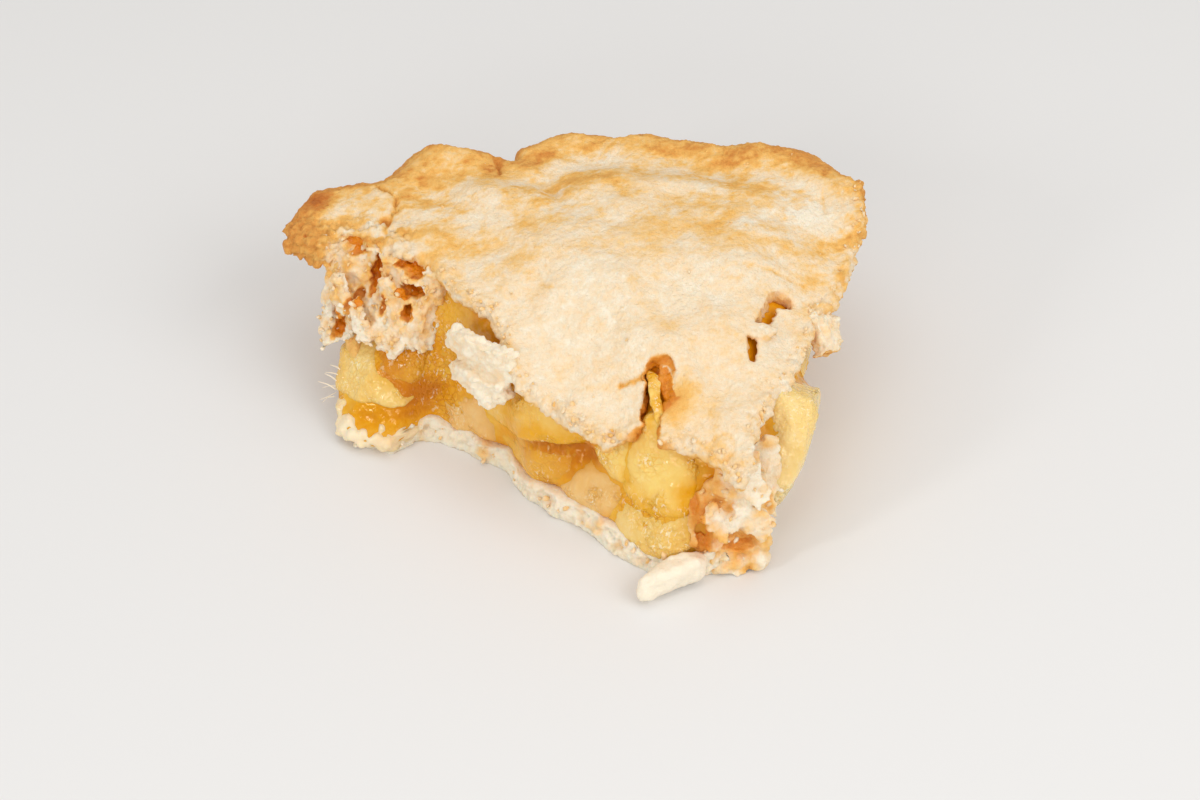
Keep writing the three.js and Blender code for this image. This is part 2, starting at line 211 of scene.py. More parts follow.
rim_radius = through(
    (43, 109.5), (52, 112), (65, 108.5), (74, 109), (78, 107.8), (85, 110.4), (91.5, 107),
    (94.5, 101.5), (98.5, 106.4), (104.5, 113), (113.5, 106.6), (120.5, 113.4), (125, 111), (131, 104.5),
)
lid_middle_height = through(
    (0, 34), (0.15, 38), (0.35, 46), (0.55, 50), (0.75, 49), (0.87, 44.5), (0.95, 45.8), (1, 43.5)
)
lid_long_height = through(
    (0, 32), (20, 35), (30, 36), (38, 32), (52, 33.5), (62, 36.5), (72, 41.5), (82, 44.5),
    (104, 45), (125, 44), (140, 43),
)
lid_short_height = through((0, 32), (12, 37), (45, 41), (70, 43), (88, 45.5), (100, 47.5))
long_lid_out = through(
    (0, 2), (20, 0.5), (27, 4), (30, 0.5), (38, 6.5), (62, 5.5), (76, -3), (99, -10), (116, -12),
    (125, -10), (131, -5), (140, -3.9),
)
long_foot_out = through(
    (0, 1), (20, 14.5), (33, 13), (45, 10), (58, 9), (72, 3), (88, 3), (94, 5), (98, 13.5), (108, 15.3),
    (114, 14.5),
)
short_lid_out = through(
    (0, -4.4), (13, -5.1), (21, -4.3), (26, -1.9), (50, -0.6), (60, 2), (78, 2.6), (100, 0)
)
short_foot_out = through((0, 0.5), (12, -0.5), (20, -3), (30, -0.5), (44, -0.5), (58, -6), (75, -8), (90, -6))
# How far out the cut faces of the fruit lie on the long cut under the lid, and how far in from the foot below
fruit_top_out = through((0, -1), (20, -2), (38, 1.5), (62, 2.5), (76, -6), (99, -13), (116, -15), (140, -7))
FRUIT_FOOT_IN = 2.6

# The lid's dent beside the tear: its place, its depth and the square of its width
DENT_AT = (14, 34)
DENT_DEPTH = 2.2
DENT_SPREAD = 90
# Where the lid's long edge is notched over the crumbled wall: along, half length and depth
NOTCH_ALONG, NOTCH_LENGTH, NOTCH_DEPTH = 103, 5, 3.5
# How far in from each cut, as a share of the slice, its outline still moves the crust
CUT_REACH = 0.45
# How much of the bottom crust's grid is its flat base
BASE_SHARE = 0.66


def heading_point(heading, distance):
    angle = np.radians(heading)
    return np.stack([np.cos(angle) * distance, np.sin(angle) * distance], axis=-1)


LONG_ALONG = heading_point(LONG_CUT, 1.0)
LONG_OUT = heading_point(LONG_CUT + 90, 1.0)
SHORT_ALONG = heading_point(SHORT_CUT, 1.0)
SHORT_OUT = heading_point(SHORT_CUT - 90, 1.0)


def reach(heading, radius):
    """From the tip along a heading to a circle round the pie's centre"""
    along = heading_point(heading, 1.0) @ PIE_CENTRE
    return along + np.sqrt(along**2 - PIE_CENTRE @ PIE_CENTRE + radius**2)


def rim_reach(heading):
    near = heading_point(heading, reach(heading, USUAL_RIM_RADIUS)) - PIE_CENTRE
    return reach(heading, rim_radius(np.degrees(np.arctan2(near[..., 1], near[..., 0]))))


def wall_reach(heading, up):
    share = np.clip(up / WALL_TOP_HEIGHT, 0, 1) ** 0.8
    return reach(heading, lerp(BASE_RADIUS, WALL_TOP_RADIUS, share))


def long_surface(along, up):
    share = np.clip(up / (lid_long_height(along) - LID_THICKNESS), 0, 1)
    return lerp(long_foot_out(along), long_lid_out(along), share)


def short_surface(along, up):
    share = np.clip(up / (lid_short_height(along) - LID_THICKNESS), 0, 1)
    return lerp(short_foot_out(along), short_lid_out(along), share**OVERHANG)


def cut_face(along, up):
    """How far out the fruit's cut faces lie on the long cut"""
    share = np.clip((up - 4) / (lid_long_height(along) - 8), 0, 1)
    return lerp(long_foot_out(along) - FRUIT_FOOT_IN, fruit_top_out(along), share)


def spread(point, c, long_by, short_by):
    """Moves plan points out past the cuts: c is 0 at the long cut and 1 at the short one."""
    long_share = (1 - np.minimum(c / CUT_REACH, 1)) ** 1.5
    short_share = (1 - np.minimum((1 - c) / CUT_REACH, 1)) ** 1.5
    return point + LONG_OUT * (long_by * long_share)[:, None] + SHORT_OUT * (short_by * short_share)[:, None]


def beside(side, places):
    """Points given along a cut from the tip, out past the cut and up from the base"""
    way, outward = (LONG_ALONG, LONG_OUT) if side == "long" else (SHORT_ALONG, SHORT_OUT)
    places = np.asarray(places, float)
    plan = places[..., :1] * way + places[..., 1:2] * outward
    return np.concatenate([plan, places[..., 2:]], axis=-1)


def block(counts, place):
    """A closed skin: the surface of a finely divided unit box, with each point moved to place(a, b, c)"""
    index = np.full(np.array(counts) + 1, -1)
    grid = np.indices(index.shape)
    skin = np.zeros(index.shape, bool)
    for axis, count in enumerate(counts):
        skin |= (grid[axis] == 0) | (grid[axis] == count)
    index[skin] = np.arange(skin.sum())
    a, b, c = (grid[axis][skin] / count for axis, count in enumerate(counts))
    faces = []
    for axis in range(3):
        for end, flip in ((0, axis != 1), (-1, axis == 1)):
            side = np.take(index, end, axis=axis)
            quads = np.stack([side[:-1, :-1], side[1:, :-1], side[1:, 1:], side[:-1, 1:]], axis=-1)
            faces.append(quads.reshape(-1, 4)[:, ::-1] if flip else quads.reshape(-1, 4))
    return place(a, b, c), np.concatenate(faces)


def ball(count):
    """A ball of unit radius with even faces"""
    def onto(a, b, c):
        cube = np.tan((columns(a, b, c) * 2 - 1) * math.pi / 4)
        return cube / np.linalg.norm(cube, axis=1)[:, None]
    return block((count, count, count), onto)


def lid_top(distance, whole, c, plan):
    z = lid_middle_height(distance / whole)
    z = lerp(lid_long_height(distance), z, ease(c, 0, 0.34))
    z = lerp(z, lid_short_height(distance), ease(c, 0.68, 1))
    sunk = DENT_DEPTH * np.exp(-((plan - DENT_AT) ** 2).sum(axis=1) / DENT_SPREAD)
    return z - sunk + 1.3 * noise(flat(plan), 23, 1) + 0.8 * noise(flat(plan), 9, 2)


def lid_place(a, b, c):
    heading = lerp(LONG_CUT, SHORT_CUT, c)
    whole = rim_reach(heading) + 0.7 * noise(columns(heading * 2, b * 4, heading * 0), 4.5, 61)
    distance = lerp(NOSE, whole, 1 - (1 - a) ** 1.25)
    plan = heading_point(heading, distance)
    inside = whole - distance
    rim = 1 - ease(inside, RIM_WIDTH * 0.75, RIM_WIDTH * 1.5)
    thickness = lerp(LID_THICKNESS, RIM_THICKNESS, rim)
    top = lid_top(distance, whole, c, plan) + 1.3 * rim * noise(flat(plan, 9), 13, 3)
    roll = np.sqrt(1 - (1 - np.clip(inside / RIM_ROLL, 0, 1)) ** 2)
    half = thickness / 2 * lerp(0.35, 1, roll)
    edge = 1.2 * (1 - (2 * b - 1) ** 2) + 1.3 * noise(columns(plan, b * 5), 6, 4)
    edge += noise(columns(plan, b * 5), 2.6, 7)
    edge -= NOTCH_DEPTH * falloff(distance - NOTCH_ALONG, NOTCH_LENGTH) * (c < 0.4)
    plan = spread(plan, c, long_lid_out(distance) + edge, short_lid_out(distance) + edge)
    return columns(plan, top - thickness / 2 + (2 * b - 1) * half)


def upright(stops, width, low):
    """An upright cutter along a path seen from above, as wide as width(share of the way)"""
    stops = np.array(stops, float)

    def place(a, b, c):
        (x, y), way = curve(np.repeat(stops[:, :, None], len(a), axis=2), a)
        rough = 1 + 0.25 * noise(columns(x, y, c * 3), 3, 71)
        across = (c - 0.5) * width(a) * rough
        return columns(x + way[1] * across, y - way[0] * across, lerp(low, ABOVE_LID, b))
    return block((40, 1, 2), place)


# The steam vent and the tear in the lid as seen from above, how wide they are along their way, and the
# heights between which they are cut
VENT = ((-26.5, 10), (-23.2, 17), (-21.4, 22.5), (-18.7, 28.3), (-17.5, 33.4))
VENT_LINE = VENT[1:]
vent_width = through((0, 9), (0.3, 4), (0.6, 5.6), (0.85, 6.8), (1, 5))
VENT_FROM = 20
TEAR = ((18.5, 46.2), (14, 46.8), (10.2, 41.5), (5.8, 36.5), (4.4, 29.2))
tear_width = through((0, 1.4), (0.15, 4.2), (0.4, 2.6), (0.7, 3.6), (1, 1.2))
TEAR_FROM = 25
ABOVE_LID = 60


def pan_path(heading, share):
    """The outside of the bottom crust's wall and lip: (distance from the tip, height), and the way inwards"""
    top = wall_reach(heading, WALL_TOP_HEIGHT)
    lip = np.minimum(reach(heading, LIP_RADIUS), rim_reach(heading) - 2.5)
    lip = np.maximum(lip - 9 * ease(heading, LONG_CUT - 6, LONG_CUT), top + 1)
    level = 0 * top
    knots = [(wall_reach(heading, level) - 2, level + 0.6)]
    for up in (WALL_TOP_HEIGHT * part for part in (0.2, 0.55, 0.92)):
        knots.append((wall_reach(heading, level + up), level + up))
    knots.append((lerp(top, lip, 0.4), level + WALL_TOP_HEIGHT + 0.8))
    knots.append((lip, level + WALL_TOP_HEIGHT + 1.2))
    at, way = curve(np.array(knots), share)
    return at, np.array([-way[1], way[0]])


def bottom_crust_place(a, b, c):
    heading = lerp(LONG_CUT, SHORT_CUT, c)
    at, inwards = pan_path(heading, np.clip((a - BASE_SHARE) / (1 - BASE_SHARE), 0, 1))
    start, _ = pan_path(heading, 0 * a)
    on_base = a < BASE_SHARE
    at = np.where(on_base, (lerp(BASE_NOSE, start[0] - 2, a / BASE_SHARE), 0 * a), at)
    inwards = np.where(on_base, ((0,), (1,)), inwards)
    here = columns(at[0], c * 60, 0 * c)
    soft_edge = (0.45 + 0.5 * noise(here, 6, 9)) * on_base
    rough = 0.3 * noise(here, 12, 5) + soft_edge * (1 - ease(c, 0.02, 0.1))
    at = at + inwards * CRUST_THICKNESS * (1 + rough) * b
    plan = heading_point(heading, at[0])
    edge = 1.2 * noise(columns(plan, b * 3), 7, 6)
    return columns(spread(plan, c, long_surface(*at) + edge, short_surface(*at) + edge), at[1])


# Places on the long cut, as (along, up, radius, millimetres), where juice stands out or lies deep
JUICE_POOLS = (
    (103.5, 7, 6, 3.6), (98, 15, 5, 1.2), (88, 21, 7, 1.8), (86, 12, 6, 1.4), (94, 28, 6, 1.0),
    (50, 19.5, 5, -2.5), (32, 12, 5, 1.2), (60, 6, 6, 1.0), (80, 5, 6, 1.5), (112, 25, 5, -1.5),
)


def filling_place(a, b, c):
    heading = lerp(LONG_CUT, SHORT_CUT, c)
    whole = rim_reach(heading)
    far = wall_reach(heading, lerp(CRUST_THICKNESS, WALL_TOP_HEIGHT, b)) - CRUST_THICKNESS
    distance = lerp(10, far, a)
    plan = heading_point(heading, distance)
    risen = 2.6 * falloff(near_line(plan, VENT_LINE), 4.5) + 3.2 * falloff(near_line(plan, TEAR), 4)
    z = lerp(CRUST_THICKNESS, lid_top(distance, whole, c, plan) - LID_THICKNESS - GAP + risen, b)
    lumps = 1.1 * noise(columns(plan, z * 1.2), 9, 8)
    long_by = cut_face(distance, z) - 1.2 + lumps + spots(columns(distance, z), JUICE_POOLS)
    return columns(spread(plan, c, long_by, short_surface(distance, z) + lumps - 2.4), z)


def laid(points, start, end, facing, roll=0):
    """Turns and moves a piece made along X and facing Y, to run from start to end and face that way."""
    x = (end - start) / np.linalg.norm(end - start)
    y = facing - x * (facing @ x)
    y /= np.linalg.norm(y)
    roll = math.radians(roll)
    y = y * math.cos(roll) + np.cross(x, y) * math.sin(roll)
    return points @ np.array([x, y, np.cross(x, y)]) + (start + end) / 2


def cross(a, b):
    return a[0] * b[1] - a[1] * b[0]


def outline_radius(corners, angle):
    """The distance from the middle of an outline to its slightly rounded edge, by direction"""
    turns = np.linspace(-math.pi, math.pi, 181)[:-1]
    way = np.array([np.cos(turns), np.sin(turns)])
    radius = np.full(len(turns), 99.0)
    for start, end in zip(corners, np.roll(corners, -1, axis=0)):
        across = cross(way, end - start)
        across = np.where(np.abs(across) < 1e-9, 1e-9, across)
        far = cross(start, end - start) / across
        share = cross(start, way) / across
        radius = np.where((far > 0) & (share >= 0) & (share <= 1), np.minimum(radius, far), radius)
    rounded = sum(np.roll(radius, k) for k in range(-2, 3)) / 5
    return np.interp(angle, turns, rounded, period=2 * math.pi)


def chunk_shape(proud, lean, dome, depth, *outline):
    """A chunk of apple cut through by the long cut, from the outline of its cut face"""
    corners = np.array(outline, float)
    middle = corners.mean(axis=0)
    p, faces = ball(FRUIT_FACES)
    across = np.hypot(p[:, 0], p[:, 2])
    flat_top = (across**CHUNK_EDGE + np.abs(p[:, 1]) ** CHUNK_EDGE) ** (-1 / CHUNK_EDGE)
    radius = outline_radius(corners - middle, np.arctan2(p[:, 2], p[:, 0])) + FRUIT_SWELL
    share = across * flat_top * radius / np.maximum(across, 1e-6)
    along, up = middle[0] + p[:, 0] * share, middle[1] + p[:, 2] * share
    proud = proud + lean * p[:, 2] - dome * (across * flat_top) ** 2
    out = cut_face(along, up) + proud + FRUIT_SWELL + (p[:, 1] * flat_top - 1) * depth / 2
    return beside("long", columns(along, out, up)), faces


def crescent_shape(side, start, end, width, thick, narrow=0.2, bend=0.1, taper=0.3, squareness=4.0, grow=0):
    """A crescent of apple with softened edges, between two places beside a cut"""
    seed = int(start[0] * 3)
    start, end, facing = (beside(side, place) for place in (start, end, (0, 1, 0)))
    length = np.linalg.norm(end - start)
    p, faces = ball(FRUIT_FACES)
    q = p * (np.abs(p) ** squareness).sum(axis=1)[:, None] ** (-1 / squareness)
    wave = 1 + 0.10 * noise(p, 0.9, seed)
    narrowed = wave * (1 - narrow * (0.5 + 0.5 * q[:, 0]))
    x = q[:, 0] * (length / 2 + grow) * wave
    y = q[:, 1] * (thick / 2 + grow) * (1 + taper * q[:, 2]) * narrowed
    z = q[:, 2] * (width / 2 + grow) * narrowed - bend * length * (q[:, 0] ** 2 - 0.4)
    return laid(columns(x, y, z), start, end, facing), faces


def scrap_shape(start, end, width, thick, seed, side="long", roll=0, counts=(40, 6, 34)):
    """A torn scrap of pastry between two places beside a cut: a curled plate with a ragged outline"""
    start, end, facing = (beside(side, place) for place in (start, end, (0, 1, 0)))
    length = np.linalg.norm(end - start)

    def place(a, b, c):
        x, z = 2 * a - 1, 2 * c - 1
        here = columns(x * 2, 0 * x, z * 2)
        ragged = (1 + 0.3 * noise(here, 1.1, seed)) * (1 - 0.16 * x * x * z * z)
        lump = 0.25 * thick * noise(here * 1.5, 1, seed + 9)
        y = (b - 0.5) * thick * (1 - 0.17 * (x * x + z * z)) + lump - 0.08 * length * (x * x - 0.4)
        return laid(columns(x * length / 2 * ragged, y, z * width / 2 * ragged), start, end, facing, roll)
    return block(counts, place)


def flap_shape(start, end, width, thick, seed, turn):
    """A small torn flap of pastry that faces the tip"""
    start, end = np.array(start, float), np.array(end, float)
    facing = np.array((math.sin(math.radians(turn)), -1, 0.5))
    length = np.linalg.norm(end - start)

    def place(a, b, c):
        x, z = 2 * a - 1, 2 * c - 1
        here = columns(x * 2, 0 * x, z * 2)
        ragged = (1 + 0.45 * noise(here, 1.0, seed)) * (1 - 0.2 * x * x * z * z)
        y = (b - 0.5) * thick * (1 - 0.4 * (x * x + z * z) / 2) + 1.2 * (x * x - 0.3)
        return laid(columns(x * length / 2 * ragged, y, z * width / 2 * ragged), start, end, facing)
    return block((20, 4, 16), place)


def strip_shape(stops, widths, sway=0.5):
    """A thin strip through stops, with its width at each"""
    stops = np.array(stops, float)
    shares = np.linspace(0, 1, len(stops))
    wide = through(*zip(shares, widths))

    def place(a, b, c):
        middle = np.stack([np.interp(a, shares, stops[:, i]) for i in range(3)], axis=1)
        u, v = 2 * b - 1, 2 * c - 1
        round_off = np.sqrt(np.clip(1 - (2 * a - 1) ** 8, 0.02, 1)) * (1 - 0.16 * u * u * v * v)
        across = u * wide(a) / 2 * round_off
        thick = np.minimum(0.9, wide(a) / 2)
        return middle + columns(across + sway * np.sin(a * 9), 0.4 * across, v * thick * round_off)
    return block((40, 10, 6), place)


def hollows(x, y, pits):
    """How deep a crumbled face is hollowed at a place, by pits of (middle x, y, half sizes, depth)"""
    total = 0 * x
    for mid_x, mid_y, half_x, half_y, depth in pits:
        far = ((x - mid_x) / half_x) ** 2 + ((y - mid_y) / half_y) ** 2
        total = total + depth * np.maximum(0, 1 - far * far)
    return total


CRUMB_PITS = (
    (121, 42, 3.5, 2.5, 4), (114, 37.5, 1.8, 5.5, 4.5), (104.5, 42, 4.5, 2, 7), (102.5, 37.5, 3.5, 1.8, 6),
    (102, 33, 2.0, 2.2, 5.5), (120.8, 25, 2.3, 4.8, 6.5), (109, 33, 1.2, 3.5, 2), (117, 31, 1.2, 3, 1.5),
)
TIP_PITS = (
    (-12.5, 11, 1.8, 4, 4), (-4.5, 8.7, 4.5, 1.2, 2.5), (-14.3, 19.5, 1.5, 3, 3.5), (-6.5, 12.5, 2, 1.2, 2),
)


def crumbled_place(a, b, c):
    along = lerp(95, lerp(127, 130, c), a)
    up = lerp(24.5 + 1.2 * np.sin(along * 0.9) - 6 * ease(along, 115, 121), 43, c)
    ribs = 0.8 * np.sin(along * 1.3 + up * 0.35) * (1 - c) + 1.6 * noise(columns(along, 0 * along, up), 5, 31)
    rounding = 5 * np.abs(2 * a - 1) ** 4
    front = long_surface(along, up) + 3 + ribs - hollows(along, up, CRUMB_PITS) - rounding
    back = long_surface(along, up) - 5
    out = lerp(np.minimum(back, front - 1.5), front, b)
    return beside("long", columns(along, out, up))


def tip_crust_place(a, b, c):
    up = lerp(GAP, 32, c)
    swell = np.sin(math.pi * np.minimum(c * 1.1 + 0.08, 1))
    x = lerp(-9 - 7 * swell, 1.2 + 1.8 * swell, a)
    x = x + 0.8 * noise(columns(a * 6, b * 4, up), 5, 41)
    folds = 0.9 * np.sin(up * 0.8 + a * 2.5) + 1.6 * noise(columns(x, 0 * x, up), 4.5, 42)
    ends = 2.2 * np.abs(2 * a - 1) ** 3
    front = 0.4 + up * lerp(0.2, 0.1, a) - folds + hollows(x, up, TIP_PITS) + ends
    return columns(x, lerp(front, 11 - ends, b), up)


# Scraps of pastry on the cuts: how baked, how browned below, layers of (start, end, width, thickness, seed)
SCRAPS = {
    "crust_flake": (0.0, 0.0, (
        ((65.5, 4.2, 38.3), (87, 0.8, 36.3), 8.4, 4.2, 21),
        ((66, 6.8, 30.8), (84, 3.4, 29.4), 6.4, 4.4, 24),
        ((69, 7.6, 28.2), (74, 7.0, 27.4), 3.6, 3.4, 25),
    )),
    "crust_side": (0.06, 0.6, (((52, -2, 39.5), (46.5, 4.5, 32.5), 10, 5, 22, "short", 20),)),
}

# Chunks of apple in the long cut: name, kind, how far the cut face stands out, how much more at its top, how
# domed it is, how deep the chunk goes in, and the outline of the face as (along, up)
CHUNKS = (
    ("apple_tip", "yellow", 1.6, 0, 1.5, 11,
     (32, 34), (28, 36), (23, 34), (19, 29), (16.5, 23), (16.5, 15), (22, 12), (29, 11.5), (34, 15),
     (36, 25)),
    ("apple_tip_small", "yellow", 1.4, 0, 0.8, 8,
     (44, 23.5), (41, 28), (35, 30.5), (33, 18), (37, 17.5), (41.5, 20)),
    ("apple_long", "yellow", 2.2, -1.0, 0.8, 11,
     (78, 17), (69, 27), (54, 34), (42, 30.5), (39.5, 27), (49, 21.5), (59, 19), (73, 12.5), (78, 13.5)),
    ("apple_low", "golden", 0.6, 0.8, 0.8, 9,
     (75, 9), (66, 14), (57.5, 18), (49, 18), (47.5, 13), (51.5, 7), (57, 4.5), (66, 4), (73, 4.5)),
    ("apple_pale", "pale", 1.0, -0.6, 0.8, 9,
     (52, 7.5), (48, 13.5), (44, 18), (37.5, 19), (33.5, 16), (33.5, 11.5), (36.5, 7), (42, 4.6), (49, 4.8)),
    ("apple_front", "white", 0.8, -0.6, 0.8, 9,
     (34.5, 13.5), (26, 14), (16.5, 15), (14, 8), (17, 4.6), (24, 4), (31, 4.2), (35, 7.5)),
    ("apple_wet", "pale", 1.0, 0, 0.8, 9,
     (90.5, 10.5), (86, 15), (78, 16.5), (74, 11.5), (74.5, 6), (80, 4.2), (88, 4.6)),
    ("apple_high", "golden", 0.8, 0, 0.8, 9,
     (98.5, 35), (96, 39), (87, 41), (76, 40), (71, 37), (74, 34), (87, 29), (89.5, 18.5), (93, 18.5),
     (96.5, 27)),
    ("apple_amber", "golden", 1.4, 0, 2.0, 9,
     (110, 21), (107, 24), (101, 26), (95.5, 23), (94, 18), (97, 16), (102, 15.5), (108, 17)),
    ("apple_corner", "white", 1.9, -0.6, 1.5, 9,
     (119.5, 17), (116, 20.5), (110, 21), (106.5, 17.5), (100, 15.5), (96.5, 12), (99.5, 10.5), (106, 10.5),
     (112, 8.5), (118, 9.5)),
    ("apple_foot", "cream", 3.6, 0, 1.5, 9,
     (115, 8), (111, 8.5), (106, 5.6), (97, 5.6), (93, 3.4), (97, 0.9), (106, 0.9), (114, 1.5)),
)
# Crescents of apple in the short cut: name, kind, side, start, end, width, thickness, narrowing
CRESCENTS = (
    ("apple_side", "clear", "short", (33, 1.0, 33.5), (13.5, -2, 10), 22, 14, 0.45),
    ("apple_short", "yellow", "short", (38, -4.5, 14), (60, -9.5, 13), 15, 9),
    ("apple_short_top", "yellow", "short", (40, -7, 27), (72, -7.5, 29), 14, 9),
)
# Where the side wedge is darkest and grainy, and where its corner is worn off: both within WEDGE_WORN
WEDGE_CROWN = (16, 20, 32)
WEDGE_CORNER = (21.5, 25, 33.5)
WEDGE_WORN = 9


# Meshes

def mesh_of(shape, name="shape"):
    points, faces = shape
    mesh = bpy.data.meshes.new(name)
    mesh.from_pydata(points.tolist(), [], faces.tolist())
    return mesh


def object_of(mesh, name="shape"):
    thing = bpy.data.objects.new(name, mesh)
    bpy.context.scene.collection.objects.link(thing)
    return thing


def modified(mesh, kind, **settings):
    """The mesh that a modifier makes of this one"""
    thing = object_of(mesh)
    modifier = thing.modifiers.new(kind, kind)
    for key, value in settings.items():
        setattr(modifier, key, value)
    graph = bpy.context.evaluated_depsgraph_get()
    made = bpy.data.meshes.new_from_object(thing.evaluated_get(graph))
    bpy.data.objects.remove(thing)
    return made


def remeshed(mesh, voxel):
    return modified(mesh, "REMESH", mode="VOXEL", voxel_size=voxel, use_smooth_shade=True)


def cut(mesh, *cutters):
    for cutter in cutters:
        tool = object_of(mesh_of(cutter))
        mesh = modified(mesh, "BOOLEAN", operation="DIFFERENCE", solver="MANIFOLD", object=tool)
        bpy.data.objects.remove(tool)
    return mesh


def joined(shapes):
    points, faces, start = [], [], 0
    for shape_points, shape_faces in shapes:
        points.append(shape_points)
        faces.append(shape_faces + start)
        start += len(shape_points)
    return np.concatenate(points), np.concatenate(faces)


def read(items, field, width, kind=np.float32):
    """A field of all of a mesh's items, as rows of width numbers"""
    values = np.empty(len(items) * width, kind)
    items.foreach_get(field, values)
    return values.reshape(-1, width)


def points_of(mesh):
    return read(mesh.vertices, "co", 3).astype(float)


def normals_of(mesh):
    return read(mesh.vertex_normals, "vector", 3).astype(float)


def shape_of(mesh):
    return points_of(mesh), read(mesh.loops, "vertex_index", 1, np.int32).reshape(-1, 4)


def set_points(mesh, points):
    mesh.vertices.foreach_set("co", points.astype(np.float32).ravel())
    mesh.update()


def lifted(mesh, lowest):
    """Raises what lies under a height to it, and gives the points."""
    points = points_of(mesh)
    points[:, 2] = np.maximum(points[:, 2], lowest)
    set_points(mesh, points)
    return points


def push(mesh, amount):
    """Moves each point out along the surface's normal by its amount, in millimetres."""
    amount = np.broadcast_to(amount, len(mesh.vertices))
    set_points(mesh, points_of(mesh) + normals_of(mesh) * amount[:, None])


def smooth(mesh, rounds):
    """Evens the surface out, each point halfway to the middle of its neighbours."""
    a, b = read(mesh.edges, "vertices", 2, np.int32).T
    points = points_of(mesh)
    count = len(points)
    degree = np.maximum(np.bincount(a, minlength=count) + np.bincount(b, minlength=count), 1)
    for _ in range(rounds):
        sums = [np.bincount(a, points[b, i], count) + np.bincount(b, points[a, i], count) for i in range(3)]
        points = points + (np.stack(sums, axis=1) / degree[:, None] - points) * 0.5
    set_points(mesh, points)


def paint(mesh, **values):
    """Keeps numbers for the material on the mesh's points."""
    for name, value in values.items():
        layer = mesh.attributes.new(name, "FLOAT", "POINT")
        value = np.broadcast_to(np.clip(value, 0, 1), len(mesh.vertices))
        layer.data.foreach_set("value", value.astype(np.float32))


def piece(name, mesh, material, slot, *nodes):
    """Finishes a mesh as a piece of the model: in metres, in the frame, riding on the body"""
    set_points(mesh, (lifted(mesh, 0) + TIP) * MM)
    mesh.materials.clear()
    mesh.materials.append(material)
    mesh.polygons.foreach_set("use_smooth", [True] * len(mesh.polygons))
    mesh.name = name
    made = object_of(mesh, name)
    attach(made, "root")
    if nodes:
        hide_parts(*nodes)


# Materials

class Shader:
    """A Principled material with colour and relief from nodes, laid out on the object's own coordinates"""

    def __init__(self, name):
        self.material = bpy.data.materials.new(name)
        self.material.use_nodes = True
        self.tree = self.material.node_tree
        self.surface = self.tree.nodes["Principled BSDF"]
        self.place = self.node("TexCoord")["Object"]

    def put(self, socket, value):
        if isinstance(value, bpy.types.NodeSocket):
            self.tree.links.new(value, socket)
        else:
            socket.default_value = value

    def node(self, kind, inputs=None, **settings):
        """The outputs of a new node, from its inputs (numbers or other nodes' outputs) and its settings"""
        made = self.tree.nodes.new("ShaderNode" + kind)
        for key, value in settings.items():
            setattr(made, key, value)
        for socket, value in (inputs or {}).items():
            self.put(made.inputs[socket], value)
        return made.outputs

    def set(self, **values):
        """Sets sockets of the surface: base_color=..., roughness=..."""
        names = {key.name.lower().replace(" ", "_"): key for key in self.surface.inputs}
        for key, value in values.items():
            self.put(names[key], value)

    def noise(self, size_mm, detail, distortion=0.0, stretch=None):
        """Noise of 0 to 1 with features of this size"""
        place = self.place
        if stretch:
            place = self.node("Mapping", {"Vector": place, "Scale": stretch})["Vector"]
        scale = 1 / (size_mm * MM)
        inputs = {"Vector": place, "Scale": scale, "Detail": detail, "Distortion": distortion}
        return self.node("TexNoise", inputs)["Fac"]

    def seams(self, size_mm):
        """The distance to the seams between grains of this size"""
        inputs = {"Vector": self.place, "Scale": 1 / (size_mm * MM)}
        return self.node("TexVoronoi", inputs, feature="DISTANCE_TO_EDGE")["Distance"]

    def math(self, operation, *values, clamp=False):
        return self.node("Math", dict(enumerate(values)), operation=operation, use_clamp=clamp)[0]

    def add(self, *values):
        total = values[0]
        for value in values[1:]:
            total = self.math("ADD", total, value)
        return total

    def times(self, a, b):
        return self.math("MULTIPLY", a, b)

    def swing(self, value, amount):
        """Noise of 0 to 1 as a swing about zero"""
        return self.math("MULTIPLY_ADD", value, amount * 2, -amount)

    def between(self, value, low, high):
        inputs = {"Value": value, "From Min": low, "From Max": high}
        return self.node("MapRange", inputs, interpolation_type="SMOOTHSTEP")["Result"]

    def painted(self, name):
        return self.node("Attribute", attribute_name=name)["Fac"]

    def ramp(self, value, *stops):
        colour = self.node("ValToRGB", {"Fac": value})["Color"]
        elements = colour.node.color_ramp.elements
        while len(elements) < len(stops):
            elements.new(1)
        for element, (place, stop_colour) in zip(elements, stops):
            element.position = place
            element.color = (*stop_colour, 1)
        return colour

    def mix(self, share, *colours):
        inputs = {"Factor": share}
        for socket, colour in zip((6, 7), colours):
            inputs[socket] = colour if isinstance(colour, bpy.types.NodeSocket) else (*colour, 1)
        return self.node("Mix", inputs, data_type="RGBA")[2]

    def relief(self, *heights):
        """Bump from heights given as (0 to 1 field, height in millimetres)"""
        inputs = {"Strength": 1.0}
        for field, height in heights:
            inputs.update({"Distance": height * MM, "Height": field})
            inputs["Normal"] = self.node("Bump", inputs)["Normal"]
        self.set(normal=inputs["Normal"], coat_normal=inputs["Normal"])


# Baked pastry from pale to scorched, pastry wet with juice, and how light spreads in pastry
PASTRY = (
    (0.00, (0.95, 0.84, 0.66)),
    (0.08, (0.91, 0.76, 0.55)),
    (0.17, (0.92, 0.71, 0.46)),
    (0.30, (0.92, 0.62, 0.29)),
    (0.45, (0.90, 0.51, 0.14)),
    (0.60, (0.82, 0.41, 0.09)),
    (0.80, (0.62, 0.20, 0.028)),
    (1.00, (0.38, 0.08, 0.004)),
)
WET_PASTRY = ((0.87, 0.32, 0.015), (0.71, 0.19, 0.003))
PASTRY_GLOW = (1.0, 0.7, 0.5)
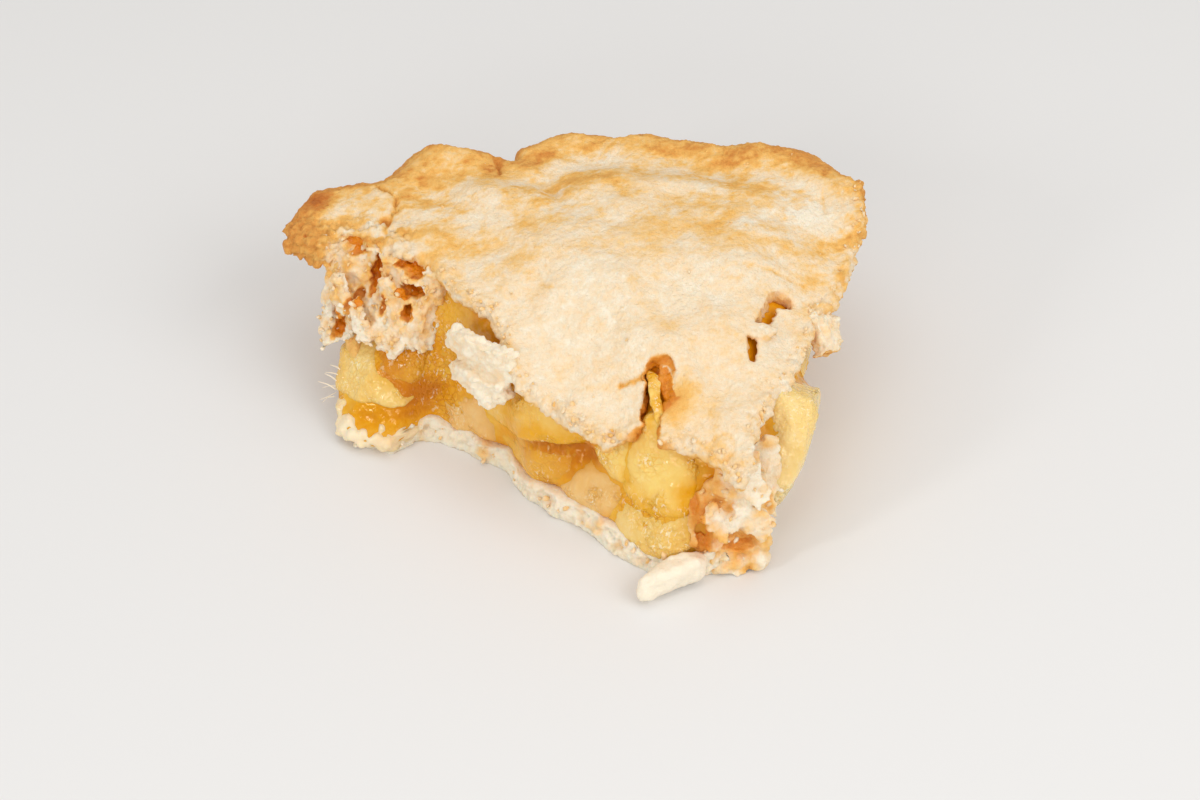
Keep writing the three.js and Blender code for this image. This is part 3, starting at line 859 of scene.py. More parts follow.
# Juice from thin to deep, and the tint of the soft reflections on wet amber surfaces
DEEP_JUICE = (0.60, 0.18, 0.0)
JUICE = ((0.0, (0.86, 0.50, 0.06)), (0.5, (0.78, 0.33, 0.002)), (1.0, DEEP_JUICE))
JUICE_SHEEN = (1.0, 0.78, 0.38, 1)
# Pale glints painted on pulp (painted highlights), and how much finer the glints and fibres are across than
# upright
PAINTED_GLINTS = (1.0, 0.90, 0.66)
GLINT_STRETCH = (1, 1, 0.55)
FIBRE_STRETCH = (1, 1, 0.5)
FRUIT_GLOW_DEPTH = 0.0014


def pastry(name, mottle, fleck, grain, gloss=0.0, soft=0.0):
    """Pastry with broad and fine mottling and flecks of brown, and a relief of grain millimetres"""
    s = Shader(name)
    broad, fine, dots = s.noise(9, 4), s.noise(2.2, 5), s.noise(0.9, 2)
    mottles = s.swing(broad, mottle), s.swing(fine, mottle * 0.9), s.swing(dots, fleck)
    # The painted browning also carries painted shade in pits and holes
    baked = s.add(s.painted("bake"), *mottles)
    wet = s.painted("wet")
    s.set(base_color=s.mix(wet, s.ramp(baked, *PASTRY), s.mix(fine, *WET_PASTRY)),
          subsurface_weight=0.12 + 0.3 * soft, subsurface_radius=PASTRY_GLOW,
          subsurface_scale=0.0006 + 0.001 * soft,
          specular_ior_level=0.35, coat_weight=gloss, coat_roughness=0.25)
    dull = s.add(0.74, s.swing(fine, 0.12))
    s.set(roughness=s.math("SUBTRACT", dull, s.times(wet, 0.55), clamp=True))
    s.relief((s.noise(1.1, 6), grain), (s.noise(0.4, 3), grain * 0.45))
    return s.material


def wet_grain(s, colour, deep, sparse=0.0):
    """Grainy pulp: amber between the grains, pale flecks on them painted as glints (painted highlights);
    colour and relief
    """
    pulp = s.painted("pulp")
    seam = s.between(s.seams(1.7), 0.16, 0.0)
    cluster = s.between(s.noise(3.6, 2), 0.42, 0.54)
    # Painted highlights: pale glint flecks, in clusters on the pulp, mixed into the colour
    fleck = s.between(s.noise(0.95, 2, 1.2, GLINT_STRETCH), 0.57 + sparse, 0.63 + sparse)
    colour = s.mix(s.times(s.times(seam, pulp), 0.65), colour, deep)
    colour = s.mix(s.times(s.times(s.times(fleck, cluster), pulp), 0.62), colour, PAINTED_GLINTS)
    return colour, s.times(s.noise(0.75, 1), pulp)


def fruit(name, light, deep, rough=0.24):
    """Cooked apple: translucent, wet, with faint fibres, and amber where juice has soaked in and where shade
    is painted
    """
    s = Shader(name)
    broad, fibre = s.noise(5, 3), s.noise(1.5, 4, 0.6, FIBRE_STRETCH)
    # The painted soak also carries painted shade at the pieces' edges and lower sides
    soak = s.add(s.painted("soak"), s.swing(broad, 0.40), s.swing(fibre, 0.28))
    colour, pulp = wet_grain(s, s.ramp(soak, (0.0, light), (1.0, deep)), deep)
    s.set(base_color=colour, roughness=s.add(rough, s.swing(fibre, 0.1)),
          subsurface_weight=0.3, subsurface_radius=(1.0, 0.7, 0.3), subsurface_scale=FRUIT_GLOW_DEPTH,
          coat_weight=0.45, coat_roughness=0.05, specular_ior_level=0.3, specular_tint=JUICE_SHEEN)
    s.relief((s.noise(2.6, 2), 0.25), (s.noise(0.8, 2), 0.06), (pulp, 0.6))
    return s.material


def syrup(name):
    s = Shader(name)
    broad, fine = s.noise(6, 3), s.noise(1.5, 4)
    # The painted soak also carries painted shade in the hollow under the long wedge
    depth = s.add(s.painted("soak"), s.swing(broad, 0.30), s.swing(fine, 0.2))
    colour, pulp = wet_grain(s, s.ramp(depth, *JUICE), DEEP_JUICE, 0.025)
    s.set(base_color=colour, roughness=0.14,
          subsurface_weight=0.2, subsurface_radius=(1.0, 0.8, 0.3), subsurface_scale=FRUIT_GLOW_DEPTH,
          coat_weight=0.15, coat_roughness=0.05, specular_ior_level=0.45, specular_tint=JUICE_SHEEN)
    s.relief((s.noise(3.0, 2), 0.3), (s.noise(1.0, 2), 0.08), (pulp, 0.7))
    return s.material


# Pieces

# Where crumbs may lie on pieces that are made: points, the way out there, and how likely each is
LANDINGS = {}


def landing(name, mesh, weight):
    LANDINGS[name] = points_of(mesh), normals_of(mesh), np.clip(weight, 0, 1)


def inside_cuts(plan):
    """How far inside the lid's long and short edges points are"""
    return (long_lid_out(plan @ LONG_ALONG) - plan @ LONG_OUT,
            short_lid_out(plan @ SHORT_ALONG) - plan @ SHORT_OUT)


def inside_rim(plan):
    """How far inside the rim's outline points are"""
    heading = np.degrees(np.arctan2(plan[:, 1], plan[:, 0]))
    return rim_reach(heading) - np.linalg.norm(plan, axis=1)


# Cracks in the lid as seen from above, each with its depth; the last two are folds in the rim and the nose
LID_CRACKS = (
    (1.2, (-27.4, 31.5), (-24, 30.6), (-21.5, 30.9)), (0.5, (35.7, 83.5), (34.4, 79), (33.9, 75.5)),
    (0.4, (31.6, 80.6), (36, 81.5)), (0.35, (5.8, 55.5), (11, 55.6), (16.3, 54.4)),
    (0.35, (15.5, 54.3), (22.6, 51.7)), (0.4, (-58.3, 85.8), (-54.5, 86.6)),
    (0.3, (-41.3, 60.9), (-38.5, 58)), (0.3, (9.5, 88), (14.5, 87.4)),
    (0.4, (43, 99), (47, 96.5), (50, 97.5)), (1.2, (-43.6, 106.5), (-43.2, 110), (-43.6, 114)),
    (1.0, (-75.5, 89.2), (-72.8, 95.7), (-70.7, 101.9), (-74.8, 107.5)),
)
CRACK_WIDTH = 0.45
# Toasted and pale patches of the lid
PATCHES = (
    (-46.5, 104.5, 5, 0.25), (23, 76, 5, -0.10), (-14.6, 96, 8, 0.16), (-3, 82.5, 5, 0.15),
    (3.5, 71, 5, 0.14), (-13, 66, 5, 0.14), (-13, 89.5, 6, 0.12), (18, 100, 6, 0.10), (36, 92, 5, 0.15),
    (-40.5, 84, 4, 0.13), (-41, 70, 3, 0.12), (-57, 76, 4, 0.10), (-60.5, 85, 3.5, 0.13), (29, 64, 3.5, 0.20),
    (-14, 40.5, 4, 0.16), (1.5, 36.8, 3.5, 0.12), (-17.5, 20, 3.5, 0.36), (-13.5, 25, 3.5, 0.30),
    (-10.1, 8.7, 4, 0.16), (-8, 20, 7, 0.12), (-90.9, 106, 4, 0.22), (-97, 95, 5, 0.20),
    (-82, 101.5, 8, -0.16), (-27, 60, 6, -0.10), (16, 77, 7, -0.20), (29, 77.5, 6, -0.22),
    (-17, 108, 5, -0.16), (-35, 99, 5, -0.08), (-75, 108, 4, -0.12), (-3, 54, 8, -0.05),
    (30, 86, 5, -0.10),
)
SCORCHED = ((-90.9, 106, 3.5, 0.22), (-44.5, 109, 4, 0.10))
# The small blister near the tip: its middle and radius
BLISTER_AT = (-8, 8.6)
BLISTER_RADIUS = 3.0
# Where the rim's end is rounded off at the short cut: its place, how wide, and by how much
RIM_END = (48.5, 86.5, 44)
RIM_END_WIDTH = 10
RIM_END_SHIFT = 3.6
# The bite in the long edge by the flake: along, half length, how far in it fades, and depth
BITE_ALONG = 80
BITE_LENGTH = 5.5
BITE_FADE = 9
BITE_DEPTH = 2.6
# Baked ledge in the vent's right half, as (x, y, height), its widths, and its line as seen from above
VENT_LEDGE = (
    (-16.4, 34, 39.6), (-15.9, 31.5, 39.2), (-15.8, 29, 38.6), (-16.2, 26.5, 37.6), (-17.4, 24, 36.2),
)
LEDGE_WIDTHS = (3.6, 4.6, 4.6, 3.8, 2.2)
VENT_PANEL = ((-16.2, 33.6), (-15.9, 30), (-16.2, 26.5), (-17.6, 23.8))
# Pastry that closes the middle of the tear, as (x, y, height), and its widths
TEAR_BRIDGE = ((5.0, 39.5, 44.0), (7.6, 37.7, 43.2), (10.4, 35.8, 42.8))
BRIDGE_WIDTHS = (5.2, 6.4, 6.0)
# Deep holes in the nose's broken face, painted darker inside as shade, as (x, y, height, radius, depth)
NOSE_HOLES = (
    (-83.5, 89, 43, 2.0, 4), (-86.5, 88.5, 41.5, 1.0, 2), (-74.8, 94.4, 44, 1.5, 2.6),
    (-71, 100, 44.5, 0.9, 2), (-71.5, 97, 44.5, 0.7, 1.6), (-91, 92, 41.5, 0.8, 1.2),
    (-95, 94, 43, 0.6, 1.0), (-77, 90, 43.5, 0.8, 1.5),
)


def lid_mesh():
    """The lid with its vent and tear, and with the ledge and the bridge that stand in them"""
    openings = upright(VENT, vent_width, VENT_FROM), upright(TEAR, tear_width, TEAR_FROM)
    mesh = remeshed(cut(mesh_of(block((150, 6, 130), lid_place)), *openings), LID_CUT_VOXEL)
    ledge = strip_shape(VENT_LEDGE, LEDGE_WIDTHS, 0)
    bridge = strip_shape(TEAR_BRIDGE, BRIDGE_WIDTHS, 0)
    mesh = remeshed(mesh_of(joined([shape_of(mesh), ledge, bridge])), LID_VOXEL)
    smooth(mesh, 2)
    return mesh


def make_lid(material):
    mesh = lid_mesh()
    points, normals = points_of(mesh), normals_of(mesh)
    plan, up = points[:, :2], points[:, 2]
    by_long, by_short = inside_cuts(plan)
    by_cut, by_rim = np.minimum(by_long, by_short), inside_rim(plan)
    corner = RIM_END_SHIFT * falloff(distance_to(points, RIM_END), RIM_END_WIDTH)
    bitten = falloff(plan @ LONG_ALONG - BITE_ALONG, BITE_LENGTH) * (1 - ease(by_long, 0, BITE_FADE))
    worn = points + np.outer(corner, (-0.85, -0.5, 0)) - np.outer(BITE_DEPTH * bitten, (*LONG_OUT, 0))
    set_points(mesh, worn)

    # Where things are: the top, the sides, the nose at the long cut's far end, and the broken edges
    top = ease(normals[:, 2], 0.2, 0.7)
    side = 1 - ease(np.abs(normals[:, 2]), 0.35, 0.8)
    nose = ease(plan @ LONG_ALONG, 101, 112)
    ragged = by_cut + 1.8 * noise(points, 5, 10) + noise(points, 2.2, 9)
    edge = 1 - ease(ragged, 0.5 + 3 * nose, 3.6 + 8 * nose)
    broken = np.maximum(edge, side * ease(by_rim, 8, 14))
    panel = falloff(near_line(plan, VENT_PANEL), 2.6, 4) * ease(up, 30, 33)
    panel *= up < 40.6 - 0.14 * (34 - plan[:, 1])
    in_vent = falloff(near_line(plan, VENT_LINE), 5.5, 4) * side
    in_tear = falloff(near_line(plan, TEAR), 3.5, 4) * side
    dark, hole = 0 * top, 0 * top
    for *middle, radius, depth in NOSE_HOLES:
        inside = falloff(distance_to(points, middle), radius, 4)
        dark, hole = np.maximum(dark, inside), np.maximum(hole, depth * inside)

    # Relief: swellings and flaky plates on the skin, crumbs where it is broken, cracks and the blister's ring
    swell = 0.28 * noise(points, 8, 11) + 0.22 * noise(points, 3.6, 12)
    plates = fractal(points * (1, 1, 0.4), 9, 13) * 4
    steps = np.floor(plates) + ease(plates - np.floor(plates), 0.82, 1.0)
    patch = ease(noise(points, 17, 14), -0.1, 0.5)
    near, own = cells(points, 2.4, 17)
    small, fine = cells(points, 1.3, 18)
    grain = 0.20 * noise(points, 1.9, 15) + 0.16 * noise(points, 1.1, 16)
    grain += 0.5 * (1 - ease(by_rim, 4, 14)) * (0.5 - small)
    crumb = 1.2 * (0.55 - near) + 0.6 * (own - 0.5) + 0.8 * (0.5 - small)
    wavy = plan + 0.5 * columns(noise(points, 1.6, 22), noise(points, 1.6, 23))
    crack = sum(depth * falloff(near_line(wavy, stops), CRACK_WIDTH) for depth, *stops in LID_CRACKS)
    ring = falloff(distance_to(plan, BLISTER_AT) / BLISTER_RADIUS - 1, 0.22)
    skin = top * (1 - edge) * (swell + 0.14 * (steps - plates) * patch + grain) - top * (crack + 0.4 * ring)
    crumbled = np.maximum(broken, panel) * crumb * (1.1 + 0.6 * nose) * (1 - dark)
    push(mesh, skin + crumbled - hole + (1 - top) * (1 - broken) * 0.3 * noise(points, 4, 19))

    # Baking: the rim, golden streaks, specks and patches, then the broken edges and the walls of the
    # openings, and painted shade in the nose's holes
    rough_rim = by_rim + 2.2 * noise(points, 7, 24) + 1.5 * noise(points, 2.5, 25)
    rim_brown = 0.36 * (1 - ease(rough_rim, 0.5, 5.5)) + 0.36 * (1 - ease(rough_rim, 3, 19))
    rim_brown *= 1 - 0.3 * ease(plan[:, 0], 0, 40)
    streaks = fractal(points * (1, 1.5, 1), 14, 21, 5, 0.75)
    golden = 0.44 * ease(streaks, -0.7, 1.0) * (1 - ease(by_rim, 18, 80))
    speckle = 0.07 * fractal(points, 3.2, 26, 3, 0.8) + 0.05 * ease(noise(points, 8, 11), 0.1, 0.6)
    under = 0.3 * ease(-normals[:, 2], 0.1, 0.6)
    bake = 0.12 + rim_brown + golden + speckle + under + spots(plan, PATCHES)
    bake += broken * (0.04 + 0.12 * (own - 0.5) + 0.10 * (fine - 0.5)) + 0.35 * top * (crack + 0.3 * ring)
    bake += broken * nose * (0.22 * ease(noise(points, 5, 62), -0.1, 0.5) - 0.06)
    # dark: the nose's holes are painted darker, as painted shade
    bake = np.minimum(bake, 0.68) + 0.5 * dark + 0.45 * in_vent + 0.10 * in_tear + spots(plan, SCORCHED)
    bake += panel * (0.5 + 0.5 * (own - 0.5))
    paint(mesh, bake=bake, wet=0.7 * in_vent + 0.25 * in_tear + panel * (0.85 + 0.3 * (fine - 0.5)))
    landing("lid_edge", mesh, edge * (1 - nose) * top)
    landing("lid", mesh, top * (by_rim > 6))
    piece("lid", mesh, material, "lid_crust", "top_crust")


def make_bottom(material):
    mesh = remeshed(mesh_of(block((150, 5, 110), bottom_crust_place)), BASE_VOXEL)
    points, normals = points_of(mesh), normals_of(mesh)
    up = points[:, 2]
    side = 1 - ease(np.abs(normals[:, 2]), 0.4, 0.85)
    wall = ease(up, 5, 9) * ease(distance_to(points[:, :2], PIE_CENTRE), 74, 80)
    near, own = cells(points * (1, 1, 1.6), 2.6, 27)
    layers = 0.12 * np.sin(up * 2.6 + 5 * noise(points, 6, 28)) + 0.5 * noise(points, 4.5, 28)
    crumb = 1.7 * (0.5 - near) + 0.8 * (own - 0.5) + 0.7 * noise(points, 1.4, 29) + 0.9 * noise(points, 6, 25)
    crumb += layers
    resting = ease(up, 0.05, 0.8)
    skin = wall * 0.35 * noise(points, 4, 30)
    push(mesh, resting * (side * (1 - wall) * crumb + skin + 0.12 * noise(points, 1.5, 26)))

    points = lifted(mesh, 0)
    up = points[:, 2]
    under = ease(-normals[:, 2], 0.75, 0.95) * (1 - ease(up, 0.0, 0.5))
    foot = ease(distance_to(points[:, :2], PIE_CENTRE), 72, 76) * (up < 9)
    foot *= 1 - ease(normals[:, 2], 0.3, 0.7)
    outside = np.maximum(np.maximum(wall, foot), under)
    golden = 0.26 * ease(noise(points, 5, 31), 0.15, 0.6) * (1 - outside)
    golden += 0.14 * fractal(points, 14, 37) * outside
    inner = ease(normals[:, 2], 0.5, 0.9) * (1 - outside)
    landing("base_edge", mesh, side * (1 - wall) * ease(up, 0.8, 2))
    paint(mesh, bake=0.40 * outside + golden + 0.07 * own * side, wet=0.12 * inner)
    piece("base_crust", mesh, material, "base_crust", "bottom_crust")


# Torn shards that hang on the crumbled wall, as (start, end, width, thickness, seed)
SHARDS = (
    ((108.5, -3, 33), (98.5, -1.5, 24), 4, 2.2, 71),
    ((108, 0, 27), (102.5, 1.5, 22.5), 5, 3.0, 72),
    ((115.5, 0, 34), (111, 2.5, 23), 4, 2.6, 73),
    ((111, -5, 38), (104, -5, 35), 5, 2.4, 74),
    ((122, -2, 38), (118, 1, 28), 5, 2.6, 75),
    ((101, -5.5, 35), (98, -3.5, 29), 3.5, 2.4, 76),
)


def make_crumbled(material):
    shards = [scrap_shape(*shard, counts=(24, 4, 16)) for shard in SHARDS]
    mesh = remeshed(mesh_of(joined([block((90, 8, 60), crumbled_place), *shards])), CRUMBLED_VOXEL)
    points = points_of(mesh)
    up = points[:, 2]
    near, own = cells(points, 1.9, 33)
    push(mesh, 1.1 * (0.5 - near) + 0.5 * (own - 0.5) + 0.6 * noise(points, 1.2, 34))
    depth = hollows(points[:, :2] @ LONG_ALONG, up, CRUMB_PITS)
    toasted = ease(up, 26, 36) * ease(noise(points, 8, 36), -0.5, 0.3)
    low = 1 - ease(up, 24, 32)
    # Pits are painted darker as painted shade; the deeper ones are also juice amber
    bake = 0.10 + 0.22 * own + 0.5 * ease(depth, 0.05, 1.2) + 0.3 * noise(points, 4, 35)
    bake = bake + 0.12 * toasted - 0.12 * low
    paint(mesh, bake=bake, wet=ease(depth, 1.0, 3.0))
    landing("crumbled", mesh, normals_of(mesh) @ np.append(LONG_OUT, 0) > 0.3)
    piece("crumbled_pastry", mesh, material, "dough", "crumbled_crust")


# Torn flaps on the tip's pastry: start and end as (x, y, height), width, thickness, seed and turn
TIP_FLAPS = (
    ((-12.5, 3.5, 21), (-7, 1.2, 13.5), 6, 2.6, 63, 20),
    ((-6, 2.8, 20), (3, 1.6, 13), 7, 3.0, 64, -10),
    ((-4.5, 3.6, 30), (1.5, 2.6, 22), 6, 2.6, 66, 0),
    ((-14, 6.5, 9), (-9, 2.2, 4.5), 5, 2.8, 67, -25),
    ((3.2, 12.5, 33), (4.2, 11, 24.5), 7, 2.6, 68, 0),
    ((4.4, 11.8, 27), (5.4, 9.6, 17), 6, 2.6, 69, 10),
    ((2.6, 8.5, 20), (3.6, 7, 12), 5, 2.6, 70, 0),
)
# Golden folds on the tip's pastry, as (x, y, height, radius, strength)
TIP_GOLD = (
    (-13.4, 4.6, 15.9, 3.5, 0.45), (-9.4, 2.6, 12.1, 2.6, 0.35), (-4.5, 1, 8.2, 3.2, 0.45),
    (-12.7, 3.5, 8.4, 3, 0.4), (-1, 3.2, 11.5, 2.5, 0.2), (-9, 5, 26, 4, 0.15), (-13, 8, 21, 3.5, 0.2),
)
# Amber juice there, as (x, y, height, radius)
TIP_JELLY = ((-11.5, 6.5, 23.5, 4.5), (-13.5, 9, 26, 3.5), (-9, 5, 21.6, 2.5))
# Lumps of dough there, as (x, y, height) and half sizes
TIP_LUMPS = (
    ((0.5, 1.6, 3), (3.2, 2.4, 3)), ((-5, 2.0, 2.4), (4.4, 2.2, 2.4)), ((1.6, 2.8, 9), (2.2, 2.6, 6)),
    ((-11, 4.5, 2.5), (3, 2.2, 2.5)),
)
# The heights at which dough and crumbs lie on the plate
DOUGH_FLOOR = 0.05
CRUMB_FLOOR = 0.02


def make_tip(material):
    round_ball, faces = ball(8)
    lumps = [(round_ball * half + np.array(middle, float), faces) for middle, half in TIP_LUMPS]
    flaps = [flap_shape(*flap) for flap in TIP_FLAPS]
    crust = block((40, 20, 64), tip_crust_place)
    mesh = remeshed(mesh_of(joined([crust, *flaps, *lumps])), DOUGH_VOXEL)
    points = points_of(mesh)
    near, own = cells(points, 2.2, 43)
    soft = ease(points[:, 2] + 2 * noise(points, 4, 38), 17, 21) * ease(points[:, 0], -12, -8)
    crumb = 0.9 * (0.5 - near) + 0.4 * noise(points, 1.2, 44)
    push(mesh, (1 - 0.6 * soft) * crumb + 0.5 * noise(points, 3, 46))

    points = lifted(mesh, DOUGH_FLOOR)
    x, y, up = points.T
    depth = hollows(x, up, TIP_PITS)
    behind = ease(y - 0.2 * up, -1.5, 2.0)
    gold = sum(more * falloff(distance_to(points, at), radius) for *at, radius, more in TIP_GOLD)
    jelly = sum(falloff(distance_to(points, at), radius, 4) for *at, radius in TIP_JELLY)
    jelly = np.minimum(jelly, 1)
    # Pits are painted darker as painted shade; the deeper ones are also juice amber
    juicy = np.maximum(0.7 * ease(depth, 0.8, 2.2), np.maximum(0.2 * jelly, 1.3 * gold))
    bake = 0.18 + 0.12 * own + 0.36 * ease(depth, 0.3, 1.6) + 0.34 * noise(points, 4, 45)
    bake = bake + 0.12 * behind - 0.12 * soft - 0.06
    bake = np.minimum(bake + gold, 0.62) * (1 - jelly) + (0.42 + 0.16 * noise(points, 2, 92)) * jelly
    paint(mesh, bake=bake, wet=np.minimum(juicy, 0.7))
    landing("tip", mesh, (normals_of(mesh)[:, 1] < -0.2) * (1 - ease(depth, 0.1, 0.5)))
    piece("tip_pastry", mesh, material, "dough", "tip_crust")


def make_scrap(name, baked, browned, layers, material):
    mesh = remeshed(mesh_of(joined([scrap_shape(*layer) for layer in layers])), DOUGH_VOXEL)
    points = points_of(mesh)
    seed = layers[0][4]
    near, own = cells(points, 2.0, seed)
    push(mesh, 0.9 * (0.5 - near) + 0.4 * noise(points, 1.2, seed + 1) + 0.5 * noise(points, 4, 61))
    inward = ease(-normals_of(mesh)[:, 2], 0.0, 0.7)
    paint(mesh, bake=baked + 0.12 * own + 0.1 * noise(points, 5, 46) + browned * inward, wet=0)
    piece("baked_" + name, mesh, material, "dough", name)


def make_strip(material):
    """The white strip of dough in front of the tip"""
    shape = crescent_shape("long", (10, 6.5, 5), (19.5, 23.5, 4), 8, 7, bend=0.03, taper=0.1, squareness=2.6)
    mesh = remeshed(mesh_of(shape), DOUGH_VOXEL)
    points = points_of(mesh)
    push(mesh, 0.7 * noise(points, 3.6, 47) + 0.25 * noise(points, 1.4, 48))
    lifted(mesh, DOUGH_FLOOR)
    paint(mesh, bake=0, wet=0)
    piece("tip_dough", mesh, material, "dough", "tip_strip")


# A strip of the tip's fruit that stands up into the vent, as (x, y, height), and its widths
VENT_STRIP = (
    (-20.2, 33.4, 38.8), (-20.0, 29.5, 38.6), (-19.7, 26, 38), (-19.6, 22.5, 36.8), (-20.0, 19.5, 34.4),
    (-20.5, 18, 31),
)
STRIP_WIDTHS = (2.2, 3.4, 3.0, 2.6, 3.0, 3.4)
# Deep amber juice and painted shade, darker or paler fruit and grainy pulp on the long cut, as (along, up,
# radius, strength)
# The amber spot at along 50 is painted shade in the hollow under the long wedge
AMBER = (
    (78, 38, 8, 0.2), (97, 14, 5, 0.6), (103, 17, 5, 0.5), (50, 19, 8, 0.9), (104, 8, 5, 0.25),
    (112, 28, 6, 0.5),
)
# Darker fruit where juice soaked in, and painted shade along and under the long wedge's lower edge (along 45
# to 66) and on the tip apple's right facet (along 17.5); negative spots are paler
SOAK_AND_SHADE_SPOTS = (
    (103, 20, 6, 0.9), (17.5, 20, 4, 0.7), (24, 12.5, 5, 0.4), (27, 24, 6, -0.3), (60, 21, 7, 0.5),
    (45, 27, 5, 0.4), (53, 20, 4.5, 0.4), (61, 18, 4, 0.4), (45, 19, 4, 0.4), (70, 22, 6, 0.5),
    (80, 38, 8, 0.3), (56, 21, 4, 0.6), (66, 17, 4, 0.5), (48, 23, 4, 0.5), (19, 10, 4, 0.4),
    (38, 16, 4, 0.3),
)
# Pulp spots also mark where pale glints are painted
PULP = (
    (20, 8, 6, 0.9), (41, 10, 3, 0.6), (66, 25, 3, 0.4), (54, 15, 4, 0.5), (92, 14, 5, 1.0),
    (88, 9, 5, 0.8), (97, 22, 4, 0.7), (88, 22, 7, 0.8), (92, 30, 6, 0.6), (33, 14, 4, 0.7), (26, 13, 4, 0.9),
    (28, 26, 3.5, 0.9), (112, 14, 6, 0.8), (104, 21, 5, 0.4), (38, 22, 3, 0.6), (60, 26, 3, 0.5),
    (58, 10, 3, 0.5), (115, 8, 3, 0.6),
)
# The hollow under the long wedge, pushed in and painted darker as shade, and the ridge of jelly at the left
# foot, as (along, up)
RECESS = ((62, 17), (58, 18), (50, 19.7), (43, 21), (40, 21.5))
RECESS_DEPTH = 2.6
JELLY_RIDGE = ((110.5, 8.4), (107.5, 9.4), (104.5, 9.4), (101.5, 8.2))
RIDGE_HEIGHT = 0.9


def with_vent_strip(mesh, *values):
    """The tip's apple with its strip in the vent, and the apple's numbers carried on for the strip"""
    strip = mesh_of(strip_shape(VENT_STRIP, STRIP_WIDTHS))
    points = points_of(strip)
    push(strip, 0.35 * noise(points, 2.4, 90) + 0.2 * noise(points, 1.1, 91))
    shape = shape_of(strip)
    carried = 0.55 + 0.5 * noise(shape[0], 3, 89)
    return mesh_of(joined([shape_of(mesh), shape])), *(np.append(value, carried) for value in values)


def make_apples(materials):
    """The pieces of apple, and where their surfaces are, for the juice round them"""
    shapes = [(name, kind, chunk_shape(*form)) for name, kind, *form in CHUNKS]
    shapes += [(name, kind, crescent_shape(*form, grow=FRUIT_SWELL)) for name, kind, *form in CRESCENTS]
    in_long_cut = {name for name, *_ in CHUNKS}
    ball_points, _ = ball(FRUIT_FACES)
    border = ease(np.hypot(ball_points[:, 0], ball_points[:, 2]), 0.45, 0.8)
    skins = []
    for name, kind, shape in shapes:
        mesh = mesh_of(shape)
        points = points_of(mesh)
        place = columns(points[:, :2] @ LONG_ALONG, points[:, 2])
        pulp = ease(noise(points, 5, 54), 0.15, 0.5)
        # Painted shade: deeper amber round the edge of each piece, where the pieces meet, and on each piece's
        # lower side
        soak = 0.05 + 0.35 * ease(noise(points, 8, 53), -0.3, 0.7) + 0.45 * border
        soak += 0.25 * ease(-ball_points[:, 2], 0.2, 1)
        if name in in_long_cut:
            pulp = np.clip(pulp + spots(place, PULP), 0, 1)
            soak += spots(place, SOAK_AND_SHADE_SPOTS)
        grain = 0.7 * pulp * (0.5 - cells(points, 1.7, 59)[0])
        swell = 0.45 * noise(points, 5.5, 51) + 0.25 * noise(points, 2.4, 52)
        push(mesh, swell + 0.10 * noise(points, 1.2, 50) + grain)
        if name == "apple_side":
            crown = falloff(distance_to(points, WEDGE_CROWN), WEDGE_WORN)
            soak, pulp = soak + 0.6 * crown, np.maximum(pulp, crown)
            push(mesh, -2.2 * falloff(distance_to(points, WEDGE_CORNER), WEDGE_WORN))
            push(mesh, 0.7 * noise(points, 9, 39) + 0.8 * crown * (0.5 - cells(points, 1.9, 58)[0]))
        if kind == "cream":
            points = points_of(mesh)
            push(mesh, 1.6 * (0.5 - cells(points, 3.2, 60)[0]) + 0.8 * noise(points, 2.4, 49))
        skins.append(shape_of(mesh))
        if name == "apple_tip":
            mesh, soak, pulp = with_vent_strip(mesh, soak, pulp)
        paint(mesh, soak=soak, pulp=pulp)
        piece("cooked_" + name, mesh, materials[kind], "apple", name)
    return skins


def far_from(points, others):
    """How far each point is from the nearest of the others"""
    tree = KDTree(len(others))
    for i, other in enumerate(others):
        tree.insert(other, i)
    tree.balance()
    return np.array([tree.find(point)[2] for point in points])


def make_syrup(material, skins):
    """Juice and soft fruit: fills the creases between the pieces of apple that show"""
    mesh = remeshed(mesh_of(joined([block((80, 26, 40), filling_place), *skins])), JUICE_VOXEL)
    push(mesh, CREASE_FILL)
    mesh = remeshed(mesh, JUICE_VOXEL)
    smooth(mesh, 3)
    push(mesh, -CREASE_FILL - 0.3)
    smooth(mesh, 3)
    points = points_of(mesh)
    plan, up = points[:, :2], points[:, 2]
    place = columns(plan @ LONG_ALONG, up)
    by_ridge = near_line(place, JELLY_RIDGE)
    recess = falloff(near_line(place, RECESS), 2.4)
    pulp = np.clip(spots(place, PULP) + 0.3 * noise(points, 5, 58) - 0.1, 0, 1)
    pulp = pulp * (1 - falloff(by_ridge, 3.5, 4)) * (1 - recess)
    near, _ = cells(points, 1.9, 59)
    far = far_from(points, np.concatenate([skin_points for skin_points, _ in skins]))
    free = ease(far, 0.4, 1.4)
    swell = 0.35 * noise(points, 5, 55) + 0.15 * noise(points, 2, 56) + 0.9 * pulp * (0.55 - near)
    push(mesh, (RIDGE_HEIGHT * falloff(by_ridge, 0.8) - RECESS_DEPTH * recess) * free + free * swell)
    soak = 0.28 + 0.3 * ease(far, 1.0, 3.5) + spots(place, AMBER) + 0.25 * noise(points, 8, 57)
    # Painted shade: deeper amber in the hollow under the long wedge
    soak += 0.5 * recess + 0.3 * ease(up, 29, 33) * falloff(near_line(plan, VENT_LINE), 6, 4)
    paint(mesh, soak=soak, pulp=pulp)
    piece("juice", mesh, material, "syrup", "filling")


# Crumbs on the landings: how many, their smallest and largest size, and a seed
CRUMBS = (
    ("lid_edge", 150, 0.7, 2.2, 81), ("lid", 25, 0.5, 1.2, 82), ("crumbled", 130, 0.8, 2.4, 83),
    ("tip", 30, 0.8, 2.0, 84), ("base_edge", 120, 0.8, 2.2, 85),
)
